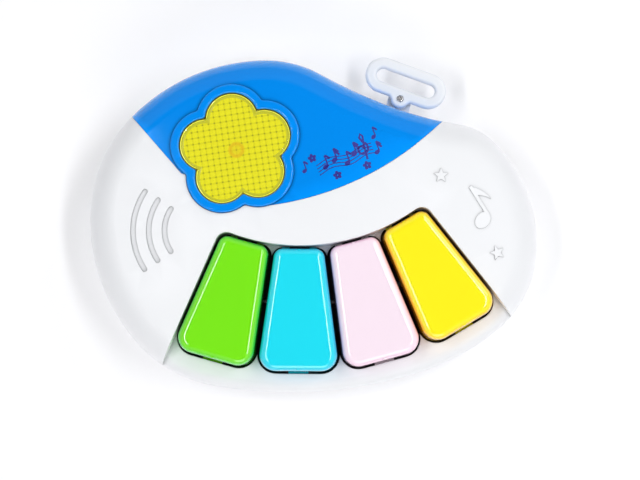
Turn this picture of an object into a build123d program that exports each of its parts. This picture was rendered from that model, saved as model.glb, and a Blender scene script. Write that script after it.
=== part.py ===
from build123d import *
import os
from math import cos, radians, sin, sqrt, tan

# Battery-powered toy keyboard, lying on its back. Millimetres, +Z up.
# The origin is on the flat bottom of the rear shell, +X is along the body.

os.makedirs("parts", exist_ok=True)

# Overall body
body_length = 180.0
body_width = 135.0
parting_z = 16.0
crown_z = 38.0
crown_radius = 620.0
edge_round = 13.0
base_round = 9.0
shell_wall = 2.2
cover_wall = 2.0
seam_gap = 0.1
seam_lip_height = 1.5
seam_lip_inset = 1.2
plan_length = 180.0
plan_width = 135.0

# Fan of keys: radii from the point where all the key centre lines meet
fan_centre = (-5.2, 70.4)
fan_start = -23.7
key_pitch = 15.5
key_count = 4
key_inner_r = 79.2
key_outer_r = 128.5
key_gap = 1.4
key_inner_corner = 4.2
key_outer_corner = 6.8
key_draft = 3.0
key_top_z = 36.5
key_top_round = 3.2
key_skirt_z = 19.0
key_wall = 1.6
key_crown_wall = 2.0
key_clearance = 0.75
key_names = ("green", "cyan", "pink", "yellow")

# Sunken deck around the keys
deck_z = 25.0
deck_thickness = 2.0
rim_round = 4.5
well_inner_r = 78.6
well_corner = 4.5
well_margin = 0.1
step_wall = 2.0

# Key hinge, up-stop and plunger
hinge_r = 74.6
hinge_z = 19.5
hinge_pin_radius = 1.0
hinge_pin_fit = 0.05
lug_radius = 2.7
lug_offset = 5.5
lug_thickness = 3.0
bracket_offset = 8.3
bracket_thickness = 2.0
hook_reach = 2.0
hook_width = 8.0
hook_thickness = 1.5
hook_gap = 0.1
plunger_r = 113.0
plunger_radius = 2.5
seat_gap = 0.3

# Board stack under the keys
board_bottom_z = 9.4
board_thickness = 1.6
mat_thickness = 1.0
dome_height = 4.5
dome_base_radius = 5.0
dome_top_radius = 2.5
dome_wall = 0.6
chassis_thickness = 2.0
chassis_inner_r = 65.6
chassis_outer_r = 133.5
chassis_hole_radius = 6.0
chassis_wall_gap = 1.0
stop_r = 122.0
stop_offset = 9.0
stop_size = 3.0
stop_height = 2.1
mat_hole_radius = 2.6
chip_r = 107.0
chip_radius = 5.5
chip_height = 1.8
board_inner_r = 95.0
board_outer_r = 123.0

# Fasteners
screw_radius = 1.3
screw_head_radius = 2.5
screw_head_height = 1.8
screw_clearance = 0.1
head_clearance = 0.3
boss_radius = 3.4
housing_boss_radius = 4.0
housing_screw_length = 15.0
housing_head_z = 8.0
boss_meeting_z = 14.2

chassis_screw_length = 8.0
tray_screw_length = 7.0
board_screw_length = 4.2

# Flower window and its light
flower_centre = (-30.8, 30.0)
petal_count = 5
petal_start = 27.0
petal_offset = 12.4
petal_radius = 10.5
petal_notch_round = 1.5
ring_width = 3.9
ring_height = 1.1
ring_round = 0.8
ring_inset = 0.3
window_gap = 0.15
lens_recess = 0.3
lens_thickness = 3.0
lens_bevel = 0.8
lens_flange = 1.8
lip_width = 1.6
lip_overlap = 2.0
lip_thickness = 2.0
lip_gap = 0.05
tray_bottom_z = 22.0
tray_floor = 1.5
tray_wall = 1.2
tray_ear_radius = 3.2
tray_ear_angles = (63.0, 135.0, 351.0)
tray_ear_r = 23.5
led_radius = 2.5
led_height = 6.0
led_board_size = (16.0, 12.0)
led_board_thickness = 1.2
led_peg_radius = 1.2
led_peg_reach = 0.6

# Battery bay for two AA cells
bay_centre = (-16.0, 28.0)
cell_radius = 7.1
cell_length = 49.0
cell_nub_radius = 2.6
cell_nub_height = 1.3
cell_pitch = 15.0
cell_z = 9.8
bay_end_room = 6.5
bay_side_room = 0.4
bay_wall = 1.6
door_thickness = 2.0
door_gap = 0.25
door_ledge = 1.6
door_ledge_width = 2.0
door_corner = 3.0
door_tab_length = 9.0
contact_thickness = 0.4
spring_radius = 3.2
spring_wire_radius = 0.35
spring_turns = 3.5
door_hook_width = 6.0
door_hook_thickness = 1.2
door_hook_reach = 2.4
door_hook_play = 0.4
door_hook_headroom = 0.5
door_screw_length = 8.0
door_grip_pitch = 3.2

# Loudspeaker
speaker_centre = (-62.5, -3.5)
speaker_radius = 18.0
speaker_flange_z = 3.4
speaker_flange_thickness = 0.8
speaker_ring_outside = 0.3
speaker_ring_inside = 2.5
speaker_depth = 8.0
speaker_magnet_radius = 9.0
speaker_magnet_height = 5.5
speaker_coil_radius = 5.0
clamp_start = 75.0
clamp_boss_radius = 2.0
clamp_pilot_radius = 0.9
clamp_head_radius = 2.8
grille_hole_radius = 1.2
grille_ring_pitch = 4.6
grille_rings = 3

# Slide switch
switch_centre = (48.0, 17.0)
switch_travel = 2.5
switch_recess_depth = 1.9
switch_recess = (14.0, 9.0)
switch_floor = 1.6
switch_seat_z = 5.0
switch_screw_offset = 10.5
switch_block = (13.0, 6.5, 4.5)
knob_low_z = 0.3
knob_size = (5.0, 5.0)
knob_stem = (3.0, 2.4)
stem_slot = (knob_stem[0] + switch_travel + 0.8, knob_stem[1] + 0.6)
knob_groove_pitch = 1.2
knob_groove_width = 0.5
knob_groove_depth = 0.4

# Strap loop
loop_pin_place = (35.07, 52.9)
loop_centre_offset = (2.4, 6.65)
loop_tilt = -20.0
loop_slot_length = 19.5
loop_slot_width = 5.4
loop_band = 4.55
loop_thickness = 4.2
loop_bottom_z = 14.8
hub_radius = 3.7
neck_round = 2.0
loop_pin_radius = 1.0
loop_pin_head_radius = 1.35
loop_pin_head = 0.7
loop_pin_fit = 0.06
loop_pin_press = 0.02
ear_bottom_z = 10.6
ear_radius = 4.8
ear_length = 7.0
ear_lean = 13.0
loop_round = 1.4

# Decoration
groove_centre = (-44.2, -2.0)
groove_radii = (15.0, 21.3, 27.6)
groove_half_angle = 34.0
groove_width = 2.2
groove_depth = 0.8
relief_height = 0.4
relief_note = (67.0, 2.0)
relief_note_size = 7.0
relief_note_lean = 32.0
relief_star_top = (50.4, 19.7)
relief_star_low = (72.7, -10.9)
relief_star_size = 3.0


# Levels and places worked out from the sizes above
def plan(x, y):
    """A place on the drawn plan, moved as the body grows longer or wider."""
    return (x * body_length / plan_length, y * body_width / plan_width)


def fan_point(radius, angle):
    """A point at a radius and an angle from -Y, about the fan's centre."""
    swing = radians(angle)
    return (fan_centre[0] + radius * sin(swing), fan_centre[1] - radius * cos(swing))


flower_place = plan(*flower_centre)
board_top_z = board_bottom_z + board_thickness
mat_top_z = board_top_z + mat_thickness
chassis_bottom_z = mat_top_z
chassis_top_z = chassis_bottom_z + chassis_thickness
dome_top_z = mat_top_z + dome_height
plunger_bottom_z = dome_top_z + seat_gap
deck_bottom_z = deck_z - deck_thickness
above_body_z = crown_z + 12.0
key_angles = [fan_start + key_pitch * (i + 0.5) for i in range(key_count)]
seam_angles = [fan_start + key_pitch * i for i in range(1, key_count)]
fan_end = fan_start + key_pitch * key_count
key_of = dict(zip(key_names, key_angles))

housing_screw_places = [
    plan(-76.0, 20.0),
    plan(-62.0, -40.0),
    plan(74.0, -8.0),
    plan(66.0, 20.0),
    plan(-53.0, 50.0),
    plan(29.0, 41.5),
    fan_point(130.3, seam_angles[1]),
]
white_screw_places = housing_screw_places[:4] + housing_screw_places[6:]
cover_screw_places = housing_screw_places[4:6]
chassis_screw_places = [fan_point(68.9, a) for a in (key_angles[0], seam_angles[1], key_angles[3])]
chassis_screw_places += [fan_point(130.0, a) for a in (seam_angles[0], seam_angles[2])]
board_screw_places = [fan_point(101.0, a) for a in seam_angles]
screw_reach_z = housing_head_z + housing_screw_length + 1.0
chassis_screw_tip_z = chassis_bottom_z + chassis_screw_length + 0.5
tray_ear_top_z = tray_bottom_z + tray_floor
tray_screw_tip_z = tray_bottom_z + tray_screw_length + 0.5
tray_ear_places = []
for ear_angle in tray_ear_angles:
    ear_x = flower_place[0] + tray_ear_r * cos(radians(ear_angle))
    ear_y = flower_place[1] + tray_ear_r * sin(radians(ear_angle))
    tray_ear_places.append((ear_x, ear_y))
led_board_top_z = tray_bottom_z
led_screw_places = [(flower_place[0] + shift, flower_place[1]) for shift in (-5.5, 5.5)]
ring_edge_z = crown_z - 5.0


def finish(piece, name):
    """Label a finished piece and write its STEP file."""
    piece.label = name
    export_step(piece, "parts/" + name + ".step")


# Shapes that several pieces share
def meeting_point(start, heading, end, leaving):
    """Where two arcs meet that leave one point and reach another along given headings."""
    span = end - start
    both = heading + leaving
    spread = 2 * (1 - heading.dot(leaving))
    reach = (-span.dot(both) + sqrt(span.dot(both) ** 2 + spread * span.dot(span))) / spread
    return (start + end + (heading - leaving) * reach) * 0.5


def outline(inset=0.0, z=0.0):
    """The bean-shaped plan of the body, moved inwards by an inset."""
    with BuildSketch(Plane.XY.offset(z)) as bean:
        with BuildLine():
            top = TangentArc(plan(-19.5, 68.0), plan(-72.5, 46.5), tangent=(-1, 0))
            left = TangentArc(top @ 1, plan(-90.5, 2.0), tangent=top % 1)
            low_left = TangentArc(left @ 1, plan(-72.0, -45.5), tangent=left % 1)
            heel = TangentArc(low_left @ 1, plan(-40.5, -63.5), tangent=low_left % 1)
            bottom = TangentArc(heel @ 1, plan(41.5, -58.5), tangent=heel % 1)
            low_right = TangentArc(bottom @ 1, plan(73.5, -41.5), tangent=bottom % 1)
            right = TangentArc(low_right @ 1, plan(90.0, -9.5), tangent=low_right % 1)
            nose = TangentArc(right @ 1, plan(73.1, 34.5), tangent=right % 1)
            beak = TangentArc(nose @ 1, plan(58.1, 42.0), tangent=nose % 1)
            brow = TangentArc(plan(-19.5, 68.0), plan(2.6, 62.2), tangent=(1, 0))
            joint = meeting_point(beak @ 1, beak % 1, brow @ 1, -(brow % 1))
            waist = TangentArc(beak @ 1, joint, tangent=beak % 1)
            TangentArc(waist @ 1, brow @ 1, tangent=waist % 1)
        make_face()
        if inset:
            offset(amount=-inset)
    return bean.sketch


def dome(inset):
    """The crowned front of the body as a full solid, shrunk by an inset."""
    with BuildPart() as crown:
        add(outline(inset, parting_z))
        extrude(amount=above_body_z - parting_z)
        with Locations((0, 0, crown_z - crown_radius)):
            Sphere(crown_radius - inset, rotation=(0, 90, 0), mode=Mode.INTERSECT)
        fillet(crown.faces().sort_by(Axis.Z)[-1].edges(), edge_round - inset)
    return crown.part


def prism(flat, bottom, top):
    """A sketch drawn at z = 0, raised and extruded between two levels."""
    with BuildPart() as column:
        add(flat.moved(Location((0, 0, bottom))))
        extrude(amount=top - bottom)
    return column.part


def common(first, second):
    """What two solids share."""
    with BuildPart() as both:
        add(first)
        add(second, mode=Mode.INTERSECT)
    return both.part


def without(first, second):
    """The first solid with the second cut away."""
    with BuildPart() as left_over:
        add(first)
        add(second, mode=Mode.SUBTRACT)
    return left_over.part


def round_column(place, radius, bottom, top):
    """A plain round column."""
    with BuildSketch() as disc:
        with Locations(place):
            Circle(radius)
    return prism(disc.sketch, bottom, top)


def key_plane(angle, z=0.0):
    """Plane with its Y out along a key's centre line."""
    swing = radians(angle)
    return Plane(origin=(*fan_centre, z), x_dir=(-cos(swing), -sin(swing), 0), z_dir=(0, 0, 1))


def hinge_plane(angle, shift=0.0):
    """Plane square to a key's hinge pin: X is outwards, Y is up."""
    swing = radians(angle)
    x, y = fan_point(hinge_r, angle)
    across = (-cos(swing), -sin(swing), 0)
    return Plane(origin=(x, y, hinge_z), x_dir=(sin(swing), -cos(swing), 0), z_dir=across).offset(shift)


def key_outline(angle, z=0.0, grow=0.0):
    """Plan of one key: a wedge with straight ends and round corners."""
    half = tan(radians(key_pitch / 2))
    narrow = key_inner_r * half - key_gap / 2
    wide = key_outer_r * half - key_gap / 2
    with BuildSketch(key_plane(angle, z)) as wedge:
        with BuildLine():
            Polyline((-narrow, key_inner_r), (narrow, key_inner_r), (wide, key_outer_r),
                     (-wide, key_outer_r), close=True)
        make_face()
        rows = wedge.vertices().group_by(Axis.Y)
        fillet(rows[0], key_inner_corner)
        rows = wedge.vertices().group_by(Axis.Y)
        fillet(rows[-1], key_outer_corner)
        if grow:
            offset(amount=grow)
    return wedge.sketch


def well_outline(grow=0.0):
    """Plan of the sunken fan around the keys, open at the body's edge."""
    first = fan_start - well_margin
    last = fan_end + well_margin
    middle = (first + last) / 2
    beyond = key_outer_r + body_width
    with BuildSketch() as fan:
        with BuildLine():
            arc = ThreePointArc(fan_point(well_inner_r, first), fan_point(well_inner_r, middle),
                                fan_point(well_inner_r, last))
            Polyline(arc @ 1, fan_point(beyond, last), fan_point(beyond * 1.3, middle),
                     fan_point(beyond, first), arc @ 0)
        make_face()
        near = fan.vertices().sort_by_distance((*fan_centre, 0))[:2]
        fillet(near, well_corner)
        if grow:
            offset(amount=grow)
    return fan.sketch


def flower_outline(grow=0.0):
    """Five round petals with softened notches between them."""
    with BuildSketch() as petals:
        with Locations(flower_place):
            with PolarLocations(petal_offset, petal_count, start_angle=petal_start):
                Circle(petal_radius)
            Circle(petal_offset)
        fillet(petals.vertices(), petal_notch_round)
        if grow:
            offset(amount=grow)
        if len(petals.edges()) == petal_count:
            fillet(petals.vertices(), petal_notch_round)
    return petals.sketch


def cover_region(grow=0.0):
    """Plan of the coloured cover: all above a swept line that dips round the flower."""
    with BuildSketch() as region:
        with BuildLine():
            low_sweep = ThreePointArc(plan(-20.5, 7.2), plan(8.7, 14.1), plan(27.8, 23.3))
            high_sweep = TangentArc(low_sweep @ 1, plan(50.6, 41.3), tangent=low_sweep % 1)
            run_out = PolarLine(high_sweep @ 1, body_width / 4, direction=high_sweep % 1)
            Polyline(run_out @ 1, plan(75.0, 110.0), plan(-120.0, 110.0), plan(-120.0, 98.0),
                     plan(-52.8, 20.7), low_sweep @ 0)
        make_face()
        add(flower_outline(ring_width))
        if grow:
            offset(amount=grow)
    return region.sketch


def cover_lip_band():
    """Strip along the cover's lower edge that backs the seam."""
    with BuildSketch() as band:
        add(cover_region(lip_overlap))
        add(cover_region(-lip_width), mode=Mode.SUBTRACT)
    return band.sketch


# Solids that the shells and the cover are cut from
body_skin = dome(0)
white_cavity = dome(shell_wall)
cover_cavity = dome(cover_wall)
lip_outside = dome(cover_wall + lip_gap)
lip_inside = dome(cover_wall + lip_gap + lip_thickness)
well_column = prism(well_outline(), parting_z - 1, above_body_z)
cover_column = prism(cover_region(), parting_z - 1, above_body_z)


def rim_block(inset):
    """Low block with a rounded rim that the sunken deck is cut from."""
    with BuildPart() as block:
        add(outline(inset, parting_z))
        extrude(amount=deck_z - parting_z - inset * deck_thickness / shell_wall)
        fillet(block.faces().sort_by(Axis.Z)[-1].edges(), rim_round - inset)
    return block.part


def arc_groove(radius):
    """Plan of one curved groove with round ends, opening towards +X."""
    with BuildSketch() as groove:
        with Locations(plan(*groove_centre)):
            SlotArc(CenterArc((0, 0), radius, 180 - groove_half_angle, 2 * groove_half_angle), groove_width)
    return groove.sketch


def music_note(place, size, lean):
    """Plan of a quaver: an oval head, a stem and a flag."""
    with BuildSketch() as note:
        Ellipse(0.52 * size, 0.4 * size, rotation=20)
        with Locations((0.42 * size, 1.0 * size)):
            Rectangle(0.2 * size, 2.0 * size)
        with BuildLine():
            flag = ThreePointArc((0.38 * size, 2.0 * size), (0.85 * size, 1.45 * size),
                                 (1.05 * size, 0.8 * size))
            back = ThreePointArc(flag @ 1, (0.72 * size, 1.2 * size), (0.38 * size, 1.45 * size))
            Line(back @ 1, flag @ 0)
        make_face()
    return note.sketch.moved(Location((*place, 0), (0, 0, lean)))


def star(place, size, lean):
    """Plan of a small five-pointed star."""
    points = []
    for i in range(10):
        reach = size if i % 2 == 0 else size * 0.45
        turn = radians(90 + 36 * i + lean)
        points.append((place[0] + reach * cos(turn), place[1] + reach * sin(turn)))
    with BuildSketch() as shape:
        with BuildLine():
            Polyline(*points, close=True)
        make_face()
    return shape.sketch


def hanging_boss(place, radius, bottom, roof):
    """Round boss from a level up to the inside of a domed skin."""
    with BuildPart() as boss:
        add(round_column(place, radius, max(bottom, parting_z), above_body_z))
        add(roof, mode=Mode.INTERSECT)
        if bottom < parting_z:
            add(round_column(place, radius, bottom, parting_z + 1))
    return boss.part


boss_roof = dome(cover_wall / 2)
seam_rebate = prism(outline(seam_lip_inset - seam_gap), parting_z - 1,
                    parting_z + seam_lip_height + seam_gap)

# Front shell: the white upper housing with the sunken deck for the keys
with BuildSketch() as step_band:
    add(well_outline(step_wall))
    add(well_outline(), mode=Mode.SUBTRACT)
with BuildSketch() as key_opening:
    for angle in key_angles:
        add(key_outline(angle, 0, key_clearance))
deck_skin = common(without(rim_block(0), rim_block(shell_wall)), well_column)
step_ring = common(prism(step_band.sketch, deck_bottom_z, above_body_z), dome(shell_wall / 2))
seam_lip = common(without(lip_outside, lip_inside), prism(cover_lip_band(), parting_z - 1, above_body_z))
relief_zone = without(dome(-relief_height), dome(shell_wall / 2))
groove_zone = without(dome(-relief_height), dome(groove_depth))

with BuildPart() as front_shell:
    add(without(without(body_skin, well_column), cover_column))
    add(white_cavity, mode=Mode.SUBTRACT)
    add(deck_skin)
    add(step_ring)
    add(seam_lip)
    add(prism(key_opening.sketch, deck_bottom_z - 1, deck_z + 1), mode=Mode.SUBTRACT)
    add(seam_rebate, mode=Mode.SUBTRACT)
    for place in white_screw_places[:4]:
        add(hanging_boss(place, boss_radius, boss_meeting_z, boss_roof))
    add(round_column(white_screw_places[4], boss_radius, boss_meeting_z, deck_z - deck_thickness / 2))
    for place in chassis_screw_places[:3]:
        add(hanging_boss(place, boss_radius, chassis_top_z, boss_roof))
    for place in chassis_screw_places[3:]:
        add(round_column(place, boss_radius, chassis_top_z, deck_z - deck_thickness / 2))
    for place in white_screw_places:
        add(round_column(place, screw_radius + screw_clearance, boss_meeting_z, screw_reach_z),
            mode=Mode.SUBTRACT)
    for place in chassis_screw_places:
        add(round_column(place, screw_radius + screw_clearance, chassis_top_z - 1, chassis_screw_tip_z),
            mode=Mode.SUBTRACT)
    for radius in groove_radii:
        add(common(groove_zone, prism(arc_groove(radius), parting_z, above_body_z)), mode=Mode.SUBTRACT)
    for mark in (music_note(plan(*relief_note), relief_note_size, relief_note_lean),
                 star(plan(*relief_star_top), relief_star_size, 0),
                 star(plan(*relief_star_low), relief_star_size, 20)):
        add(common(relief_zone, prism(mark, parting_z, above_body_z)))
finish(front_shell.part, "front_shell")

# Front cover: the coloured shell with the flower window, screwed down from the rear
with BuildSketch() as ring_plan:
    add(flower_outline(ring_width - ring_inset))
    add(flower_outline(window_gap), mode=Mode.SUBTRACT)
with BuildPart() as window_ring:
    add(common(without(dome(-ring_height), cover_cavity),
               prism(ring_plan.sketch, parting_z, above_body_z)))
    ring_edges = window_ring.edges().filter_by(
        lambda edge: (edge @ 0.5).Z > ring_edge_z and abs((edge % 0.5).Z) < 0.9)
    fillet(ring_edges, ring_round)

with BuildPart() as front_cover:
    add(common(without(body_skin, cover_cavity),
               prism(cover_region(-seam_gap), parting_z - 1, above_body_z)))
    add(prism(flower_outline(window_gap), parting_z, above_body_z), mode=Mode.SUBTRACT)
    add(window_ring.part)
    add(seam_rebate, mode=Mode.SUBTRACT)
    for place in cover_screw_places:
        add(hanging_boss(place, boss_radius, boss_meeting_z, boss_roof))
        add(round_column(place, screw_radius + screw_clearance, boss_meeting_z, screw_reach_z),
            mode=Mode.SUBTRACT)
    for place in tray_ear_places:
        add(hanging_boss(place, screw_head_radius, tray_ear_top_z, boss_roof))
        add(round_column(place, screw_radius + screw_clearance, tray_ear_top_z, tray_screw_tip_z),
            mode=Mode.SUBTRACT)
finish(front_cover.part, "front_cover")

# Flower lens: clear yellow window held from beneath by its flange
with BuildPart() as flower_lens:
    add(common(without(dome(lens_recess), dome(lens_recess + lens_thickness)),
               prism(flower_outline(-window_gap), parting_z, above_body_z)))
    rim_edges = flower_lens.faces().sort_by(Axis.Z)[-1].outer_wire().edges()
    chamfer(rim_edges, lens_bevel)
    add(common(without(lip_outside, dome(lens_recess + lens_thickness)),
               prism(flower_outline(lens_flange), parting_z, above_body_z)))
finish(flower_lens.part, "flower_lens")

# Light tray: white reflector cup under the lens, with ears for three screws
with BuildPart() as light_tray:
    add(common(dome(lens_recess + lens_thickness + seat_gap),
               prism(flower_outline(tray_wall), tray_bottom_z, above_body_z)))
    add(prism(flower_outline(-seam_gap), tray_bottom_z + tray_floor, above_body_z), mode=Mode.SUBTRACT)
    with BuildSketch(Plane.XY.offset(tray_bottom_z)):
        for x, y in tray_ear_places:
            arm_middle = ((x + flower_place[0]) / 2, (y + flower_place[1]) / 2)
            SlotCenterPoint(arm_middle, (x, y), 2 * tray_ear_radius)
    extrude(amount=tray_floor)
    add(round_column(flower_place, led_radius + screw_clearance, tray_bottom_z - 1, tray_bottom_z + 3),
        mode=Mode.SUBTRACT)
    for place in tray_ear_places:
        add(round_column(place, screw_radius + screw_clearance, tray_bottom_z - 1, tray_ear_top_z + 1),
            mode=Mode.SUBTRACT)
    for place in led_screw_places:
        peg_end_z = led_board_top_z - led_board_thickness - led_peg_reach
        add(round_column(place, led_peg_radius, peg_end_z, tray_bottom_z + 1))
finish(light_tray.part, "light_tray")


# Lamp: an amber light-emitting diode standing on its own small board
with BuildPart() as led:
    with BuildSketch(Plane.XZ):
        with BuildLine():
            led_side = Line((led_radius, 0), (led_radius, led_height - led_radius))
            led_tip = RadiusArc(led_side @ 1, (0, led_height), -led_radius)
            Polyline(led_tip @ 1, (0, 0), led_side @ 0)
        make_face()
    revolve(axis=Axis.Z)
finish(led.part.moved(Location((*flower_place, led_board_top_z))), "led")

with BuildPart() as led_board:
    with BuildSketch(Plane.XY.offset(led_board_top_z - led_board_thickness)):
        with Locations(flower_place):
            Rectangle(*led_board_size)
        for place in led_screw_places:
            with Locations(place):
                Circle(led_peg_radius + screw_clearance, mode=Mode.SUBTRACT)
    extrude(amount=led_board_thickness)
finish(led_board.part, "led_board")


def pan_screw(place, under_head_z, length, head_radius, head_height):
    """Self-tapping pan-head screw, driven upwards from beneath, with a cross recess."""
    with BuildPart() as screw:
        add(round_column(place, head_radius, under_head_z - head_height, under_head_z))
        fillet(screw.edges().group_by(Axis.Z)[0], head_height / 3)
        add(round_column(place, screw_radius, under_head_z, under_head_z + length))
        chamfer(screw.edges().group_by(Axis.Z)[-1], screw_radius / 2)
        with BuildSketch(Plane.XY.offset(under_head_z - head_height)):
            with Locations(place):
                Rectangle(head_radius, head_height / 4)
                Rectangle(head_height / 4, head_radius)
        extrude(amount=head_height / 2, mode=Mode.SUBTRACT)
    return screw.part


def screw_set(name, places, under_head_z, length, head_radius, head_height):
    """All the screws of one kind, as one node of separate solids."""
    screws = [pan_screw(place, under_head_z, length, head_radius, head_height) for place in places]
    finish(Compound(children=screws), name)


screw_set("housing_screws", housing_screw_places, housing_head_z, housing_screw_length,
          screw_head_radius, screw_head_height)
screw_set("chassis_screws", chassis_screw_places, chassis_bottom_z, chassis_screw_length,
          screw_head_radius, screw_head_height)
screw_set("board_screws", board_screw_places, board_bottom_z, board_screw_length,
          screw_head_radius, screw_head_height)
screw_set("light_screws", tray_ear_places, tray_bottom_z, tray_screw_length,
          screw_head_radius, screw_head_height)


# Keys: hollow caps with two hinge lugs, an up-stop hook and a plunger
def key_block(angle, inset, bottom, top):
    """Upright below the deck, drafted above it."""
    with BuildPart() as block:
        add(key_outline(angle, bottom, -inset))
        extrude(amount=deck_z - bottom)
        add(key_outline(angle, deck_z, -inset))
        extrude(amount=top - deck_z, taper=key_draft)
    return block.part


def key_cap(angle):
    """One key as a single moulding."""
    with BuildPart() as cap:
        add(key_block(angle, 0, key_skirt_z, key_top_z))
        fillet(cap.faces().sort_by(Axis.Z)[-1].edges(), key_top_round)
        add(key_block(angle, key_wall, key_skirt_z - 1, key_top_z - key_crown_wall), mode=Mode.SUBTRACT)
        for side in (-1, 1):
            shift = side * lug_offset - lug_thickness / 2
            with BuildSketch(hinge_plane(angle, shift)):
                Circle(lug_radius)
                with Locations(((key_inner_r + key_wall / 2 - hinge_r) / 2, 0)):
                    Rectangle(key_inner_r + key_wall / 2 - hinge_r, 2 * lug_radius - 0.4)
            extrude(amount=lug_thickness)
            with BuildSketch(hinge_plane(angle, shift - 1)):
                Circle(hinge_pin_radius + hinge_pin_fit)
            extrude(amount=lug_thickness + 2, mode=Mode.SUBTRACT)
        with BuildSketch(key_plane(angle, deck_bottom_z - hook_gap - hook_thickness)):
            with Locations((0, key_outer_r + hook_reach / 2 - key_wall / 4)):
                Rectangle(hook_width, hook_reach + key_wall / 2)
        extrude(amount=hook_thickness)
        with BuildSketch(key_plane(angle, plunger_bottom_z)):
            with Locations((0, plunger_r)):
                Circle(plunger_radius)
        extrude(amount=key_skirt_z + 1 - plunger_bottom_z)
        with BuildSketch(key_plane(angle, key_skirt_z + 0.5)):
            with Locations((0, plunger_r)):
                Circle(plunger_radius)
            with Locations((0, plunger_r)):
                Rectangle(2 * key_inner_r * tan(radians(key_pitch / 2)), key_wall * 0.75)
            with Locations((0, (key_inner_r + key_outer_r) / 2)):
                Rectangle(key_wall * 0.75, key_outer_r - key_inner_r - key_wall)
        extrude(amount=key_top_z - key_crown_wall / 2 - key_skirt_z - 0.5)
    return cap.part


for name in key_names:
    finish(key_cap(key_of[name]), "key_" + name)

# Hinge pins: plain steel pins that carry the lugs between two brackets
for name in key_names:
    with BuildPart() as hinge_pin:
        pin_half = bracket_offset + bracket_thickness / 2
        with BuildSketch(hinge_plane(key_of[name], -pin_half)):
            Circle(hinge_pin_radius)
        extrude(amount=2 * pin_half)
    finish(hinge_pin.part, "hinge_pin_" + name)


def fan_sector(inner, outer, first, last, z=0.0):
    """Plan of a ring sector about the fan's centre."""
    middle = (first + last) / 2
    with BuildSketch(Plane.XY.offset(z)) as sector:
        with BuildLine():
            near = ThreePointArc(fan_point(inner, first), fan_point(inner, middle), fan_point(inner, last))
            far = ThreePointArc(fan_point(outer, first), fan_point(outer, middle), fan_point(outer, last))
            Line(near @ 0, far @ 0)
            Line(near @ 1, far @ 1)
        make_face()
    return sector.sketch


# Key chassis: the plate and hinge brackets that hold the keys, screwed under the front shell
with BuildPart() as key_chassis:
    with BuildSketch(Plane.XY.offset(chassis_bottom_z)):
        add(fan_sector(chassis_inner_r, chassis_outer_r, fan_start - 1, fan_end + 1))
        add(outline(shell_wall + chassis_wall_gap), mode=Mode.INTERSECT)
        for angle in key_angles:
            with Locations(fan_point(plunger_r, angle)):
                Circle(chassis_hole_radius, mode=Mode.SUBTRACT)
        for place in chassis_screw_places + board_screw_places:
            with Locations(place):
                Circle(screw_radius + screw_clearance, mode=Mode.SUBTRACT)
        with Locations(housing_screw_places[-1]):
            Circle(housing_boss_radius + key_clearance, mode=Mode.SUBTRACT)
    extrude(amount=chassis_thickness)
    for place in board_screw_places:
        with BuildSketch(Plane.XY.offset(board_top_z)):
            with Locations(place):
                Circle(mat_hole_radius - screw_clearance)
                Circle(screw_radius + screw_clearance, mode=Mode.SUBTRACT)
        extrude(amount=mat_thickness)
    for angle in key_angles:
        for side in (-1, 1):
            shift = side * bracket_offset - bracket_thickness / 2
            with BuildSketch(hinge_plane(angle, shift)):
                Circle(lug_radius)
                with Locations((0, (chassis_top_z - hinge_z) / 2)):
                    Rectangle(2 * lug_radius, hinge_z - chassis_top_z)
                Circle(hinge_pin_radius + hinge_pin_fit / 2, mode=Mode.SUBTRACT)
            extrude(amount=bracket_thickness)
            with BuildSketch(key_plane(angle, chassis_top_z)):
                with Locations((side * stop_offset, stop_r)):
                    Rectangle(stop_size, stop_size)
            extrude(amount=stop_height)
finish(key_chassis.part, "key_chassis")

# Contact mat: a silicone sheet with one sprung dome for each key
with BuildPart() as contact_mat:
    with BuildSketch(Plane.XY.offset(board_top_z)):
        add(fan_sector(board_inner_r + 1, board_outer_r - 1, fan_start + 2, fan_end - 2))
        for place in board_screw_places:
            with Locations(place):
                Circle(mat_hole_radius, mode=Mode.SUBTRACT)
    extrude(amount=mat_thickness)
finish(contact_mat.part, "contact_mat")

for name in key_names:
    with BuildPart() as rubber_dome:
        with BuildSketch(Plane.XZ):
            with BuildLine():
                Polyline((dome_base_radius - dome_wall, 0), (dome_base_radius, 0),
                         (dome_top_radius, dome_height), (0, dome_height),
                         (0, dome_height - 2 * dome_wall),
                         (dome_top_radius - dome_wall, dome_height - 2 * dome_wall), close=True)
            make_face()
        revolve(axis=Axis.Z)
    dome_place = Location((*fan_point(plunger_r, key_of[name]), mat_top_z))
    finish(rubber_dome.part.moved(dome_place), "rubber_dome_" + name)

# Key board: printed circuit board under the mat, with the sound chip and its small components
with BuildPart() as key_board:
    with BuildSketch(Plane.XY.offset(board_bottom_z)):
        add(fan_sector(board_inner_r, board_outer_r, fan_start + 1, fan_end - 1))
        for place in board_screw_places:
            with Locations(place):
                Circle(screw_radius + screw_clearance, mode=Mode.SUBTRACT)
    extrude(amount=board_thickness)
finish(key_board.part, "key_board")

with BuildPart() as sound_chip:
    with BuildSketch(Plane.XY.offset(board_bottom_z)):
        with Locations(fan_point(chip_r, key_angles[1])):
            Circle(chip_radius)
    extrude(amount=-chip_height)
    fillet(sound_chip.edges().group_by(Axis.Z)[0], chip_height * 0.8)
finish(sound_chip.part, "sound_chip")

component_solids = [
    round_column(fan_point(chip_r, key_angles[2]), 2.5, board_bottom_z - 5.5, board_bottom_z),
    round_column(fan_point(chip_r - 7, key_angles[2]), 2.0, board_bottom_z - 4.5, board_bottom_z),
]
for i in range(4):
    with BuildPart() as resistor:
        with BuildSketch(Plane.XY.offset(board_bottom_z)):
            with Locations(fan_point(chip_r - 6 + 4 * i, key_angles[3])):
                Rectangle(3.2, 1.6)
        extrude(amount=-0.7)
    component_solids.append(resistor.part)
finish(Compound(children=component_solids), "board_components")


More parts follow.
